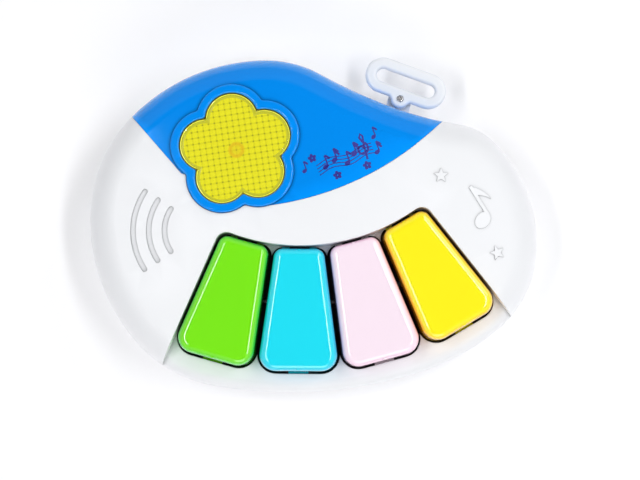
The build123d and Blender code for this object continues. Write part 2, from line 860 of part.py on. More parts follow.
# Rear shell: the white tub with the battery bay, screw bosses, speaker seat and strap ear
bay_length = cell_length + cell_nub_height + bay_end_room
bay_depth = 2 * cell_radius + cell_pitch + 2 * bay_side_room
bay_top_z = cell_z + cell_radius + bay_side_room
bay_place = plan(*bay_centre)
door_length = bay_length + 2 * door_ledge_width
door_width = bay_depth + 2 * door_ledge_width
door_screw_place = (bay_place[0] + door_length / 2 + door_tab_length / 2 - 0.5, bay_place[1])
ledge_top_z = door_thickness + door_ledge
hook_places = [(bay_place[0] - bay_length / 2, bay_place[1] + side * bay_depth / 4) for side in (-1, 1)]
speaker_place = plan(*speaker_centre)
switch_place = plan(*switch_centre)
switch_screw_places = [(switch_place[0] + side * switch_screw_offset, switch_place[1]) for side in (-1, 1)]
clamp_places = []
for i in range(3):
    turn = radians(clamp_start + 120 * i)
    reach = speaker_radius + clamp_boss_radius + 2 * screw_clearance
    clamp_places.append((speaker_place[0] + reach * cos(turn), speaker_place[1] + reach * sin(turn)))
loop_pin = plan(*loop_pin_place)
ear_root = (loop_pin[0] - ear_length * sin(radians(ear_lean)),
            loop_pin[1] - ear_length * cos(radians(ear_lean)))


def box_column(place, length, width, bottom, top, corner=0.0):
    """A block between two levels, with optional round corners in plan."""
    with BuildSketch() as flat:
        with Locations(place):
            Rectangle(length, width)
        if corner:
            fillet(flat.vertices(), corner)
    return prism(flat.sketch, bottom, top)


def door_plan(grow):
    """Plan of the battery door with its screw tab."""
    with BuildSketch() as door:
        with Locations(bay_place):
            Rectangle(door_length, door_width)
        with Locations((door_screw_place[0] - door_tab_length / 2, door_screw_place[1])):
            Rectangle(2 * door_tab_length, door_tab_length)
        corners = door.vertices().sort_by_distance((*bay_place, 0))
        fillet(corners[-6:], door_corner)
        if grow:
            offset(amount=grow)
    return door.sketch


def tub_block(inset, floor_z):
    """The rear half of the body as a solid, with its rounded base."""
    with BuildPart() as tub:
        add(outline(inset, floor_z))
        extrude(amount=parting_z - floor_z)
        fillet(tub.faces().sort_by(Axis.Z)[0].edges(), base_round - inset)
    return tub.part


tub_outside = tub_block(0, 0)
with BuildPart() as rear_shell:
    add(tub_outside)
    add(tub_block(shell_wall, shell_wall), mode=Mode.SUBTRACT)
    with BuildSketch(Plane.XY.offset(parting_z - 1)):
        add(outline(seam_lip_inset))
        add(outline(shell_wall), mode=Mode.SUBTRACT)
    extrude(amount=1 + seam_lip_height)
    add(prism(door_plan(door_ledge_width), shell_wall / 2, ledge_top_z))
    add(box_column(bay_place, bay_length + 2 * bay_wall, bay_depth + 2 * bay_wall, shell_wall / 2,
                   bay_top_z + bay_wall))
    add(prism(door_plan(door_gap), -1, door_thickness), mode=Mode.SUBTRACT)
    add(box_column(bay_place, bay_length, bay_depth, -1, bay_top_z), mode=Mode.SUBTRACT)
    for place in hook_places:
        slot_top_z = ledge_top_z + door_hook_thickness + door_hook_headroom
        add(box_column(place, 2 * bay_wall + door_hook_reach, door_hook_width + 2 * door_hook_play,
                       ledge_top_z, slot_top_z), mode=Mode.SUBTRACT)
    boss_end_z = door_thickness + door_screw_length + 1
    add(round_column(door_screw_place, screw_head_radius, door_thickness, boss_end_z))
    add(round_column(door_screw_place, screw_radius + screw_clearance, 0, boss_end_z - 0.5),
        mode=Mode.SUBTRACT)
    for place in housing_screw_places:
        add(common(round_column(place, housing_boss_radius, 0, boss_meeting_z - seam_gap), tub_outside))
    for place in housing_screw_places:
        add(round_column(place, screw_head_radius + head_clearance, -1, housing_head_z), mode=Mode.SUBTRACT)
        add(round_column(place, screw_radius + screw_clearance, 0, parting_z), mode=Mode.SUBTRACT)
    with BuildSketch(Plane.XY.offset(shell_wall / 2)):
        with Locations(speaker_place):
            Circle(speaker_radius + speaker_ring_outside)
            Circle(speaker_radius - speaker_ring_inside, mode=Mode.SUBTRACT)
    extrude(amount=speaker_flange_z - shell_wall / 2)
    for place in clamp_places:
        clamp_top_z = speaker_flange_z + speaker_flange_thickness
        add(round_column(place, clamp_boss_radius, shell_wall / 2, clamp_top_z))
        add(round_column(place, clamp_pilot_radius, shell_wall, parting_z), mode=Mode.SUBTRACT)
    with BuildSketch(Plane.XY.offset(-1)):
        with Locations(speaker_place):
            Circle(grille_hole_radius)
            for ring in range(1, grille_rings + 1):
                with PolarLocations(ring * grille_ring_pitch, 6 * ring):
                    Circle(grille_hole_radius)
    extrude(amount=shell_wall + 2, mode=Mode.SUBTRACT)
    add(box_column(switch_place, switch_recess[0] + 3, switch_recess[1] + 3, shell_wall / 2,
                   switch_recess_depth + switch_floor, 2.0))
    for place in switch_screw_places:
        add(round_column(place, screw_head_radius, shell_wall / 2, switch_seat_z))
        add(round_column(place, clamp_pilot_radius, shell_wall / 2, switch_seat_z + 1), mode=Mode.SUBTRACT)
    add(box_column(switch_place, *switch_recess, -1, switch_recess_depth, 1.5), mode=Mode.SUBTRACT)
    add(box_column(switch_place, *stem_slot, 0, switch_seat_z + 1), mode=Mode.SUBTRACT)
    with BuildSketch(Plane.XY.offset(ear_bottom_z)):
        SlotCenterPoint(((loop_pin[0] + ear_root[0]) / 2, (loop_pin[1] + ear_root[1]) / 2), loop_pin,
                        2 * ear_radius)
        with Locations(loop_pin):
            Circle(loop_pin_radius + loop_pin_press, mode=Mode.SUBTRACT)
    extrude(amount=loop_bottom_z - seat_gap - ear_bottom_z)
finish(rear_shell.part, "rear_shell")

# Battery door: flush plate with two hooks at one end and a screw tab at the other
with BuildPart() as battery_door:
    add(prism(door_plan(0), 0, door_thickness))
    for place in hook_places:
        inner = (place[0] + bay_side_room + bay_wall / 2, place[1])
        hook_top_z = ledge_top_z + door_hook_thickness
        add(box_column(inner, bay_wall, door_hook_width, door_thickness - 0.5, hook_top_z))
        tip = (inner[0] - bay_wall, place[1])
        add(box_column(tip, 2 * bay_wall, door_hook_width, ledge_top_z + 0.2, hook_top_z))
    for radius, depth in ((screw_radius + screw_clearance, door_thickness + 1),
                          (screw_head_radius + head_clearance, door_thickness / 2)):
        add(round_column(door_screw_place, radius, -1, depth), mode=Mode.SUBTRACT)
    with BuildSketch() as grip:
        with Locations(bay_place):
            with GridLocations(door_grip_pitch, 0, 5, 1):
                SlotOverall(door_width * 0.5, 1.2, rotation=90)
    add(prism(grip.sketch, -1, 0.5), mode=Mode.SUBTRACT)
finish(battery_door.part, "battery_door")
screw_set("door_screw", [door_screw_place], door_thickness / 2, door_screw_length, screw_head_radius, 0.9)

# Two AA cells, side by side and head to tail, between nickel plates and coil springs
cell_ends = []
for i, side in enumerate((1, -1)):
    cell_y = bay_place[1] + side * cell_pitch / 2
    nub_end_x = bay_place[0] - side * (bay_length / 2 - contact_thickness - seat_gap)
    with BuildPart() as cell:
        with BuildSketch(Plane.XZ):
            with BuildLine():
                Polyline((0, 0), (cell_nub_radius, 0), (cell_nub_radius, cell_nub_height),
                         (cell_radius, cell_nub_height), (cell_radius, cell_nub_height + cell_length),
                         (0, cell_nub_height + cell_length), close=True)
            make_face()
        revolve(axis=Axis.Z)
        fillet(cell.edges().filter_by(GeomType.CIRCLE), 0.5)
    spun = cell.part.moved(Location((0, 0, 0), (0, side * 90, 0)))
    finish(spun.moved(Location((nub_end_x, cell_y, cell_z))), "battery_" + str(i + 1))
    cell_ends.append((nub_end_x + side * (cell_nub_height + cell_length), cell_y, side))


def contact_plate(side, width, centre_y):
    """Thin nickel plate standing against an end wall of the bay."""
    place = (bay_place[0] + side * (bay_length - contact_thickness) / 2, centre_y)
    return box_column(place, contact_thickness, width, cell_z - 5, cell_z + 5)


plates = [contact_plate(1, 2 * cell_pitch - 6, bay_place[1]),
          contact_plate(-1, 9.0, bay_place[1] + cell_pitch / 2),
          contact_plate(-1, 9.0, bay_place[1] - cell_pitch / 2)]
finish(Compound(children=plates), "battery_contacts")

springs = []
for end_x, end_y, side in cell_ends:
    spring_room = bay_place[0] * side + bay_length / 2 - contact_thickness - end_x * side - 2 * seat_gap
    spring_rise = spring_room - 2 * spring_wire_radius
    coil = Helix(pitch=spring_rise / spring_turns, height=spring_rise, radius=spring_radius)
    with BuildPart() as spring:
        with BuildSketch(Plane(origin=coil @ 0, z_dir=coil % 0)):
            Circle(spring_wire_radius)
        sweep(path=coil)
    spun = spring.part.moved(Location((0, 0, 0), (0, -side * 90, 0)))
    start_x = end_x + side * (spring_room + seat_gap - spring_wire_radius)
    springs.append(spun.moved(Location((start_x, end_y, cell_z))))
finish(Compound(children=springs), "battery_springs")


# Loudspeaker: steel frame, paper cone and ferrite magnet, facing the holes in the rear shell
def spun_at(place, points, z=0.0):
    """A profile of (radius, height) points turned about an upright axis."""
    with BuildPart() as turned:
        with BuildSketch(Plane.XZ):
            with BuildLine():
                Polyline(*points, close=True)
            make_face()
        revolve(axis=Axis.Z)
    return turned.part.moved(Location((*place, z)))


flange_top = speaker_flange_thickness
basket_top = speaker_depth - speaker_flange_thickness
speaker_frame = spun_at(speaker_place, (
    (speaker_radius - 2.2, 0), (speaker_radius, 0), (speaker_radius, flange_top),
    (speaker_radius - 2.0, flange_top), (speaker_magnet_radius, speaker_depth),
    (speaker_coil_radius, speaker_depth), (speaker_coil_radius, basket_top),
    (speaker_magnet_radius - 0.4, basket_top)), speaker_flange_z)
finish(speaker_frame, "speaker_frame")
cone_rim = speaker_radius - 3.6
speaker_cone = spun_at(speaker_place, (
    (cone_rim, 0), (cone_rim + 0.5, 0.4), (speaker_coil_radius, 4.6), (speaker_coil_radius - 2, 3.4),
    (0, 3.0), (0, 2.6), (speaker_coil_radius - 1.8, 3.0), (speaker_coil_radius, 4.0)),
    speaker_flange_z + 0.1)
finish(speaker_cone, "speaker_cone")
speaker_magnet = round_column(speaker_place, speaker_magnet_radius, speaker_flange_z + speaker_depth,
                              speaker_flange_z + speaker_depth + speaker_magnet_height)
with BuildPart() as magnet:
    add(speaker_magnet)
    chamfer(magnet.edges().group_by(Axis.Z)[-1], 0.6)
finish(magnet.part, "speaker_magnet")
clamp_screws = []
for place in clamp_places:
    with BuildPart() as clamp_screw:
        clamp_z = speaker_flange_z + speaker_flange_thickness
        add(round_column(place, clamp_head_radius, clamp_z, clamp_z + 1.2))
        fillet(clamp_screw.edges().group_by(Axis.Z)[-1], 0.4)
        add(round_column(place, clamp_pilot_radius - screw_clearance, shell_wall + 0.4, clamp_z))
    clamp_screws.append(clamp_screw.part)
finish(Compound(children=clamp_screws), "speaker_screws")

# Slide switch: body on two posts over the recess, and the knob that slides in it
with BuildPart() as switch_body:
    add(box_column(switch_place, 2 * switch_screw_offset + 5, 6.0, switch_seat_z, switch_seat_z + 0.8))
    add(box_column(switch_place, *switch_block[:2], switch_seat_z, switch_seat_z + switch_block[2]))
    add(box_column(switch_place, *stem_slot, switch_seat_z - 1, switch_seat_z + 2.6), mode=Mode.SUBTRACT)
    for place in switch_screw_places:
        add(round_column(place, clamp_pilot_radius, switch_seat_z - 1, switch_seat_z + 2),
            mode=Mode.SUBTRACT)
finish(switch_body.part, "switch_body")
switch_screws = []
for place in switch_screw_places:
    with BuildPart() as switch_screw:
        add(round_column(place, clamp_head_radius * 0.7, switch_seat_z + 0.8, switch_seat_z + 2.0))
        fillet(switch_screw.edges().group_by(Axis.Z)[-1], 0.4)
        add(round_column(place, clamp_pilot_radius - screw_clearance, shell_wall, switch_seat_z + 0.8))
    switch_screws.append(switch_screw.part)
finish(Compound(children=switch_screws), "switch_screws")
knob_place = (switch_place[0] - switch_travel / 2, switch_place[1])
with BuildPart() as switch_knob:
    add(box_column(knob_place, *knob_size, knob_low_z, switch_recess_depth - 0.2, 0.8))
    for side in (-1, 0, 1):
        groove_place = (knob_place[0] + side * knob_groove_pitch, knob_place[1])
        add(box_column(groove_place, knob_groove_width, knob_size[1], knob_low_z - 1,
                       knob_low_z + knob_groove_depth), mode=Mode.SUBTRACT)
    add(box_column(knob_place, *knob_stem, switch_recess_depth - 0.5, switch_seat_z + 2.3))
finish(switch_knob.part, "switch_knob")

# Strap loop: a flat white loop that swings on a headed steel pin
loop_middle = (loop_pin[0] + loop_centre_offset[0], loop_pin[1] + loop_centre_offset[1])
loop_top_z = loop_bottom_z + loop_thickness
pin_seat_z = loop_top_z - loop_pin_head - seam_gap
with BuildPart() as strap_loop:
    with BuildSketch(Plane.XY.offset(loop_bottom_z)) as loop_plan:
        with Locations(Location((*loop_middle, 0), loop_tilt)):
            SlotCenterToCenter(loop_slot_length, loop_slot_width + 2 * loop_band)
        with Locations(loop_pin):
            Circle(hub_radius)
        fillet(loop_plan.vertices().sort_by_distance((*loop_pin, loop_bottom_z))[:2], neck_round)
        with Locations(Location((*loop_middle, 0), loop_tilt)):
            SlotCenterToCenter(loop_slot_length, loop_slot_width, mode=Mode.SUBTRACT)
    extrude(amount=loop_thickness)
    fillet(strap_loop.edges().filter_by(Axis.Z, reverse=True), loop_round)
    for radius, bottom in ((loop_pin_head_radius + seam_gap, pin_seat_z),
                           (loop_pin_radius + loop_pin_fit, loop_bottom_z - 1)):
        add(round_column(loop_pin, radius, bottom, loop_top_z + 1), mode=Mode.SUBTRACT)
finish(strap_loop.part, "strap_loop")

with BuildPart() as loop_pin_part:
    add(round_column(loop_pin, loop_pin_radius, ear_bottom_z, pin_seat_z + seam_gap))
    add(round_column(loop_pin, loop_pin_head_radius, pin_seat_z + seam_gap, loop_top_z))
    fillet(loop_pin_part.edges().group_by(Axis.Z)[-1], loop_pin_head / 2)
finish(loop_pin_part.part, "loop_pin")
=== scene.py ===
from math import atan2, cos, pi, radians, sin, sqrt

import bmesh
import bpy
from mathutils import Matrix, Vector


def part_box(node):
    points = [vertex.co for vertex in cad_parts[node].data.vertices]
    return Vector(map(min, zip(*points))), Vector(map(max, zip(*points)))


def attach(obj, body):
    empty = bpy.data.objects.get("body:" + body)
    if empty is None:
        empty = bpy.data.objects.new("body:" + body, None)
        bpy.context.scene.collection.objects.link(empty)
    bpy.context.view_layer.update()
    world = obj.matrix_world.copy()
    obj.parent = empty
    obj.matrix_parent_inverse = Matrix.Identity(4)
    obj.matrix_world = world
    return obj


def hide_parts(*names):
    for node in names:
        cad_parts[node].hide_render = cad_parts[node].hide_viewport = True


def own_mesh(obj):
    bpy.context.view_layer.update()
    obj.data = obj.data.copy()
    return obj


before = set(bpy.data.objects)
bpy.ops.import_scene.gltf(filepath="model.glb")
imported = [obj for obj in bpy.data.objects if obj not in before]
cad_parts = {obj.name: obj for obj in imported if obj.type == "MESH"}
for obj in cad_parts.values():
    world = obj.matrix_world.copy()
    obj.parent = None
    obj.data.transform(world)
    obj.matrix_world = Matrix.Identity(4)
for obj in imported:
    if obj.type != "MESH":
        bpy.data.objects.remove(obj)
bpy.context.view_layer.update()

# Camera: almost straight above the keys, on the player's side, with a long lens.
# The far and the near edge of the toy then come out nearly the same size.
scene = bpy.context.scene
scene.view_settings.view_transform = "Standard"
camera_elevation = radians(86.0)
camera_distance = 0.7
camera_aim = Vector((0.00243, -0.00487, 0.020))
camera = bpy.data.objects.new("camera", bpy.data.cameras.new("camera"))
camera.data.lens = 97.3
camera.data.clip_start = 0.01
camera_side = Vector((0.0, -cos(camera_elevation), sin(camera_elevation)))
camera.location = camera_aim + camera_distance * camera_side
camera.rotation_euler = (pi / 2 - camera_elevation, 0.0, 0.0)
scene.collection.objects.link(camera)
scene.camera = camera

# Counter: a sheet of white laminate far larger than the toy. It takes the soft shadow
# and throws light back up the rounded sides.
counter_reach = 4.0
counter_drop = 0.0001
counter_corners = [(x * counter_reach, y * counter_reach, -counter_drop)
                   for x, y in ((-1, -1), (1, -1), (1, 1), (-1, 1))]
counter_mesh = bpy.data.meshes.new("counter")
counter_mesh.from_pydata(counter_corners, [], [(0, 1, 2, 3)])
counter = bpy.data.objects.new("counter", counter_mesh)
scene.collection.objects.link(counter)
laminate = bpy.data.materials.new("white_laminate")
laminate.use_nodes = True
laminate_shader = laminate.node_tree.nodes["Principled BSDF"]
laminate_shader.inputs["Base Color"].default_value = (0.92, 0.92, 0.935, 1.0)
laminate_shader.inputs["Roughness"].default_value = 0.8
laminate_shader.inputs["Specular IOR Level"].default_value = 0.05
laminate_shader.inputs["Emission Color"].default_value = (1.0, 1.0, 1.0, 1.0)
laminate_shader.inputs["Emission Strength"].default_value = 0.08
counter_mesh.materials.append(laminate)

# Studio: a white tent that is dim straight above, so that level surfaces keep their full
# colour, with two narrow strips left and right and one large soft lamp at the upper right.
tent = bpy.data.worlds.new("white_tent")
tent.use_nodes = True
scene.world = tent
tent_nodes = tent.node_tree.nodes
tent_links = tent.node_tree.links
tent_heading = tent_nodes.new("ShaderNodeTexCoord")
tent_height = tent_nodes.new("ShaderNodeSeparateXYZ")
tent_shade = tent_nodes.new("ShaderNodeValToRGB")
tent_steps = ((0.0, (0.80, 0.80, 0.86)), (0.30, (1.0, 1.0, 1.0)),
              (0.70, (1.0, 1.0, 1.0)), (0.82, (0.12, 0.12, 0.125)))
while len(tent_shade.color_ramp.elements) < len(tent_steps):
    tent_shade.color_ramp.elements.new(0.5)
for stop, (height, shade) in zip(tent_shade.color_ramp.elements, tent_steps):
    stop.position = height
    stop.color = (*shade, 1.0)
tent_links.new(tent_heading.outputs["Generated"], tent_height.inputs[0])
tent_links.new(tent_height.outputs["Z"], tent_shade.inputs["Fac"])
tent_links.new(tent_shade.outputs["Color"], tent_nodes["Background"].inputs["Color"])
tent_nodes["Background"].inputs["Strength"].default_value = 0.48

for lamp_name, lamp_place, lamp_width, lamp_length, lamp_power in (
        ("left_strip", (-0.32, -0.02, 0.70), 0.09, 0.50, 1.9),
        ("right_strip", (0.32, 0.02, 0.70), 0.09, 0.50, 1.9),
        ("front_fill", (0.10, -0.90, 0.55), 0.50, 0.80, 2.8),
        ("large_softbox", (0.75, 0.60, 0.65), 0.60, 0.60, 2.6)):
    lamp = bpy.data.objects.new(lamp_name, bpy.data.lights.new(lamp_name, "AREA"))
    lamp.data.shape = "RECTANGLE"
    lamp.data.size = lamp_width
    lamp.data.size_y = lamp_length
    lamp.data.energy = lamp_power
    lamp.location = lamp_place
    lamp.rotation_euler = Vector(lamp_place).to_track_quat("Z", "X").to_euler()
    scene.collection.objects.link(lamp)


# Moulded plastic: every shell, key and cover is an injection moulding. The flow of the resin mottles its
# colour, the tool leaves a fine grain, and handling polishes its corners. A top and a side colour, mixed
# by which way the surface faces, carry painted light and shade on the shells, cover, keys, loop, lens,
# border and domes, and creases are darkened as painted shade where a finish asks for it.
mix_from, mix_to, mix_result = 6, 7, 2  # where a Mix node keeps its two colours and what it gives out


def make_moulding_group():
    group = bpy.data.node_groups.new("moulded_surface", "ShaderNodeTree")
    for label, kind, start in (
            ("Top Colour", "NodeSocketColor", (0.8, 0.8, 0.8, 1.0)),
            ("Side Colour", "NodeSocketColor", (0.8, 0.8, 0.8, 1.0)),
            ("Polish", "NodeSocketFloat", 0.25),
            ("Mottle", "NodeSocketFloat", 0.03),
            ("Grain Scale", "NodeSocketFloat", 1500.0),
            ("Grain Depth", "NodeSocketFloat", 0.04),
            ("Corner Wear", "NodeSocketFloat", 0.1),
            ("Crease Shade", "NodeSocketFloat", 0.4),
            ("Edge Radius", "NodeSocketFloat", 0.0003)):
        group.interface.new_socket(label, in_out="INPUT", socket_type=kind).default_value = start
    for label, kind in (("Colour", "NodeSocketColor"), ("Roughness", "NodeSocketFloat"),
                        ("Normal", "NodeSocketVector"), ("Flank", "NodeSocketFloat")):
        group.interface.new_socket(label, in_out="OUTPUT", socket_type=kind)
    add, link = group.nodes.new, group.links.new
    given, result = add("NodeGroupInput"), add("NodeGroupOutput")
    coords, geometry = add("ShaderNodeTexCoord"), add("ShaderNodeNewGeometry")

    def worked(kind, first, second):
        """A Math node on two sockets or numbers."""
        node = add("ShaderNodeMath")
        node.operation = kind
        for socket, value in zip(node.inputs, (first, second)):
            if isinstance(value, (int, float)):
                socket.default_value = value
            else:
                link(value, socket)
        return node.outputs[0]

    facing = add("ShaderNodeSeparateXYZ")
    link(coords.outputs["Normal"], facing.inputs[0])
    level = add("ShaderNodeMapRange")
    level.interpolation_type = "SMOOTHSTEP"
    level.inputs["From Min"].default_value = 0.25
    level.inputs["From Max"].default_value = 0.97
    link(facing.outputs["Z"], level.inputs["Value"])
    link(level.outputs["Result"], result.inputs["Flank"])
    # Painted light and shade: the colour moves from the side colour to the top colour as the surface
    # turns to face up.
    facing_tone = add("ShaderNodeMix")
    facing_tone.data_type = "RGBA"
    link(level.outputs["Result"], facing_tone.inputs["Factor"])
    link(given.outputs["Side Colour"], facing_tone.inputs[mix_from])
    link(given.outputs["Top Colour"], facing_tone.inputs[mix_to])

    cloud = add("ShaderNodeTexNoise")
    cloud.inputs["Scale"].default_value = 38.0
    cloud.inputs["Detail"].default_value = 4.0
    link(coords.outputs["Object"], cloud.inputs["Vector"])
    drift = worked("MULTIPLY", worked("SUBTRACT", cloud.outputs["Fac"], 0.5), given.outputs["Mottle"])
    corner = add("ShaderNodeMapRange")
    corner.inputs["From Min"].default_value = 0.5
    corner.inputs["From Max"].default_value = 0.6
    link(geometry.outputs["Pointiness"], corner.inputs["Value"])
    worn = worked("MULTIPLY", corner.outputs["Result"], given.outputs["Corner Wear"])
    # Painted shade: the colour darkens in creases and recesses, as far as each point is shut in by nearby
    # surfaces.
    hollow = add("ShaderNodeAmbientOcclusion")
    hollow.samples = 8
    hollow.inputs["Distance"].default_value = 0.0016
    painted_crease_shade = worked("MULTIPLY", worked("SUBTRACT", 1.0, hollow.outputs["AO"]), given.outputs["Crease Shade"])
    tinted = add("ShaderNodeVectorMath")
    tinted.operation = "SCALE"
    link(facing_tone.outputs[mix_result], tinted.inputs[0])
    brightness = worked("SUBTRACT", worked("ADD", worked("ADD", drift, worn), 1.0), painted_crease_shade)
    link(brightness, tinted.inputs["Scale"])
    link(tinted.outputs[0], result.inputs["Colour"])
    dulled = worked("ADD", worked("MULTIPLY", drift, 1.6), given.outputs["Polish"])
    link(dulled, result.inputs["Roughness"])

    grain = add("ShaderNodeTexNoise")
    grain.inputs["Detail"].default_value = 2.0
    link(coords.outputs["Object"], grain.inputs["Vector"])
    link(given.outputs["Grain Scale"], grain.inputs["Scale"])
    rounded = add("ShaderNodeBevel")
    rounded.samples = 4
    link(given.outputs["Edge Radius"], rounded.inputs["Radius"])
    relief = add("ShaderNodeBump")
    relief.inputs["Distance"].default_value = 0.0002
    link(rounded.outputs["Normal"], relief.inputs["Normal"])
    link(grain.outputs["Fac"], relief.inputs["Height"])
    link(given.outputs["Grain Depth"], relief.inputs["Strength"])
    link(relief.outputs["Normal"], result.inputs["Normal"])
    return group


moulding = make_moulding_group()


def plastic(name, top, side=None, polish=0.2, mottle=0.03, grain=0.02, grain_scale=1500.0, wear=0.1,
            coat=0.3, glow=0.0, crease_shade=0.4, shine=0.5, edge=0.0003):
    """A moulded plastic: the group works out what varies, the shader holds what doesn't."""
    finish = bpy.data.materials.new(name)
    finish.use_nodes = True
    tree = finish.node_tree
    shader = tree.nodes["Principled BSDF"]
    surface = tree.nodes.new("ShaderNodeGroup")
    surface.node_tree = moulding
    for label, value in (("Top Colour", (*top, 1.0)), ("Side Colour", (*(side or top), 1.0)),
                         ("Polish", polish), ("Mottle", mottle), ("Grain Scale", grain_scale),
                         ("Grain Depth", grain), ("Corner Wear", wear), ("Crease Shade", crease_shade),
                         ("Edge Radius", edge)):
        surface.inputs[label].default_value = value
    for output, socket in (("Colour", "Base Color"), ("Roughness", "Roughness"), ("Normal", "Normal")):
        tree.links.new(surface.outputs[output], shader.inputs[socket])
    shader.inputs["IOR"].default_value = 1.52
    shader.inputs["Specular IOR Level"].default_value = shine
    shader.inputs["Coat Weight"].default_value = coat
    shader.inputs["Coat Roughness"].default_value = 0.06
    if glow:
        shader.inputs["Subsurface Weight"].default_value = glow
        shader.inputs["Subsurface Radius"].default_value = (1.0, 1.0, 1.0)
        shader.inputs["Subsurface Scale"].default_value = 0.0015
    return finish


def dress(finish, *names):
    """Give CAD nodes one finish in place of the plain one that they arrive with."""
    for name in names:
        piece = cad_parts[name]
        piece.data.materials.clear()
        piece.data.materials.append(finish)


# Front and rear shell: white ABS, moulded glossy in front and behind. The front one has the
# sunken deck, the engraved sound arcs and the raised note and stars; seven screws join them.
# Painted light: the shells' sides are given a lighter white than their tops, and creases and the engraved
# arcs are darkened as painted shade.
white_abs = plastic("white_abs", (0.80, 0.812, 0.835), (0.92, 0.925, 0.95), polish=0.42, mottle=0.015,
                    grain=0.012, wear=0.05, coat=0.0, crease_shade=0.65, shine=0.35)
dress(white_abs, "front_shell", "rear_shell")

# Battery door: the same white ABS, spark-textured matt so that a thumb can slide it,
# with a row of grip slots. One screw keeps a small child out of it.
white_textured = plastic("white_textured_abs", (0.82, 0.83, 0.85), polish=0.5, mottle=0.02, grain=0.35,
                         grain_scale=2600.0, wear=0.04, coat=0.0)
dress(white_textured, "battery_door")

# Front cover: a separate deep blue moulding over the top of the body, with a raised ring round
# the flower window. It is the glossiest piece of the toy.
# Painted light: the cover's sides are a lighter, more cyan blue than its top, and its creases, such as
# the foot of the ring, are darkened strongly as painted shade.
blue_abs = plastic("blue_abs", (0.0, 0.25, 0.83), (0.0, 0.30, 0.86), polish=0.12, mottle=0.03,
                   grain=0.008, wear=0.22, coat=0.35, crease_shade=1.6, shine=0.15)
dress(blue_abs, "front_cover")

# Keys: four hollow caps in bright ABS, a little translucent. Their flanks are given a deeper side colour
# than the tops: painted shade where the flanks turn away from the lamps.
for key_name, key_top, key_shaded_flank in (
        ("green", (0.20, 0.81, 0.009), (0.045, 0.66, 0.018)),
        ("cyan", (0.014, 0.74, 0.90), (0.0, 0.58, 0.83)),
        ("pink", (0.96, 0.80, 0.90), (0.94, 0.60, 0.78)),
        ("yellow", (1.0, 0.88, 0.012), (1.0, 0.55, 0.0))):
    dress(plastic(key_name + "_abs", key_top, key_shaded_flank, polish=0.10, mottle=0.03, grain=0.004, wear=0.08,
                  coat=1.0, glow=0.1), "key_" + key_name)

# Strap loop: a flat white loop on a steel pin, for tying the toy to a pram or a cot.
# It is the same resin as the shells, left a little duller.
# Its sides are painted greyer and bluer than its top, as painted shade.
dress(plastic("loop_abs", (0.86, 0.88, 0.91), (0.74, 0.77, 0.84), polish=0.3, mottle=0.02, grain=0.02,
              wear=0.06, coat=0.1), "strap_loop")

# Slide switch knob: a small blue cap with three grip grooves, reached from behind.
# The switch body above it is black nylon with a matt surface.
dress(blue_abs, "switch_knob")
dress(plastic("black_nylon", (0.02, 0.02, 0.022), polish=0.45, grain=0.12, wear=0.3, coat=0.0),
      "switch_body")


# Flower window: a clear yellow lens, with its flange clamped under the ring. Its turned-down edges are
# painted a dark olive: painted shade that stands in for the dark outline round the lens.
def see_through(finish, level_alpha, flank_alpha):
    """Let a plastic be clear where it lies level and dense where it turns down."""
    tree = finish.node_tree
    surface = next(node for node in tree.nodes if node.type == "GROUP")
    density = tree.nodes.new("ShaderNodeMapRange")
    density.inputs["To Min"].default_value = flank_alpha
    density.inputs["To Max"].default_value = level_alpha
    tree.links.new(surface.outputs["Flank"], density.inputs["Value"])
    tree.links.new(density.outputs["Result"], tree.nodes["Principled BSDF"].inputs["Alpha"])


lens_acrylic = plastic("yellow_acrylic", (0.93, 0.90, 0.10), (0.16, 0.20, 0.0), polish=0.06, mottle=0.02,
                       grain=0.0, wear=0.1, coat=1.0, crease_shade=0.0, edge=0.0012)
see_through(lens_acrylic, 0.22, 0.92)
dress(lens_acrylic, "flower_lens")

# Prism plate: the underside of the window is moulded as a field of small square pyramids that
# spread the lamp's light. It is built here as the thin plate that they form.
lens_low, lens_high = (Vector(corner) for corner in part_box("flower_lens"))
flower_middle = Vector((-0.0308, 0.0300))
petal_count, petal_reach, petal_radius, petal_first = 5, 0.0124, 0.0105, 27.0
prism_pitch, prism_height, prism_lean = 0.0024, 0.0007, radians(8.5)
prism_cells = 20
prism_border = 0.0005
prism_depth, prism_floor = 0.0020, 0.0006
outline_points = 200
cutter_margin = 0.01
crown_height, crown_radius = 0.038, 0.620


def flower_reach(turn, grow):
    """How far the flower's edge lies from its middle, in one direction."""
    far = 0.0
    for petal in range(petal_count):
        off = turn - radians(petal_first + 360.0 / petal_count * petal)
        across = (petal_radius + grow) ** 2 - (petal_reach * sin(off)) ** 2
        if across > 0 and cos(off) > 0:
            far = max(far, petal_reach * cos(off) + sqrt(across))
    return far


def flower_edge(turn, grow):
    """The place of the flower's edge in one direction, seen from above."""
    reach = flower_reach(turn, grow)
    return flower_middle.x + reach * cos(turn), flower_middle.y + reach * sin(turn)


def linked(name, mesh, finish):
    """A new piece from a mesh, in one finish."""
    piece = bpy.data.objects.new(name, mesh)
    mesh.materials.append(finish)
    scene.collection.objects.link(piece)
    return piece


def under_crown(x, y, depth):
    """A point that far below the body's crowned top."""
    return Vector((x, y, crown_height - crown_radius + sqrt(crown_radius ** 2 - x * x - y * y) - depth))


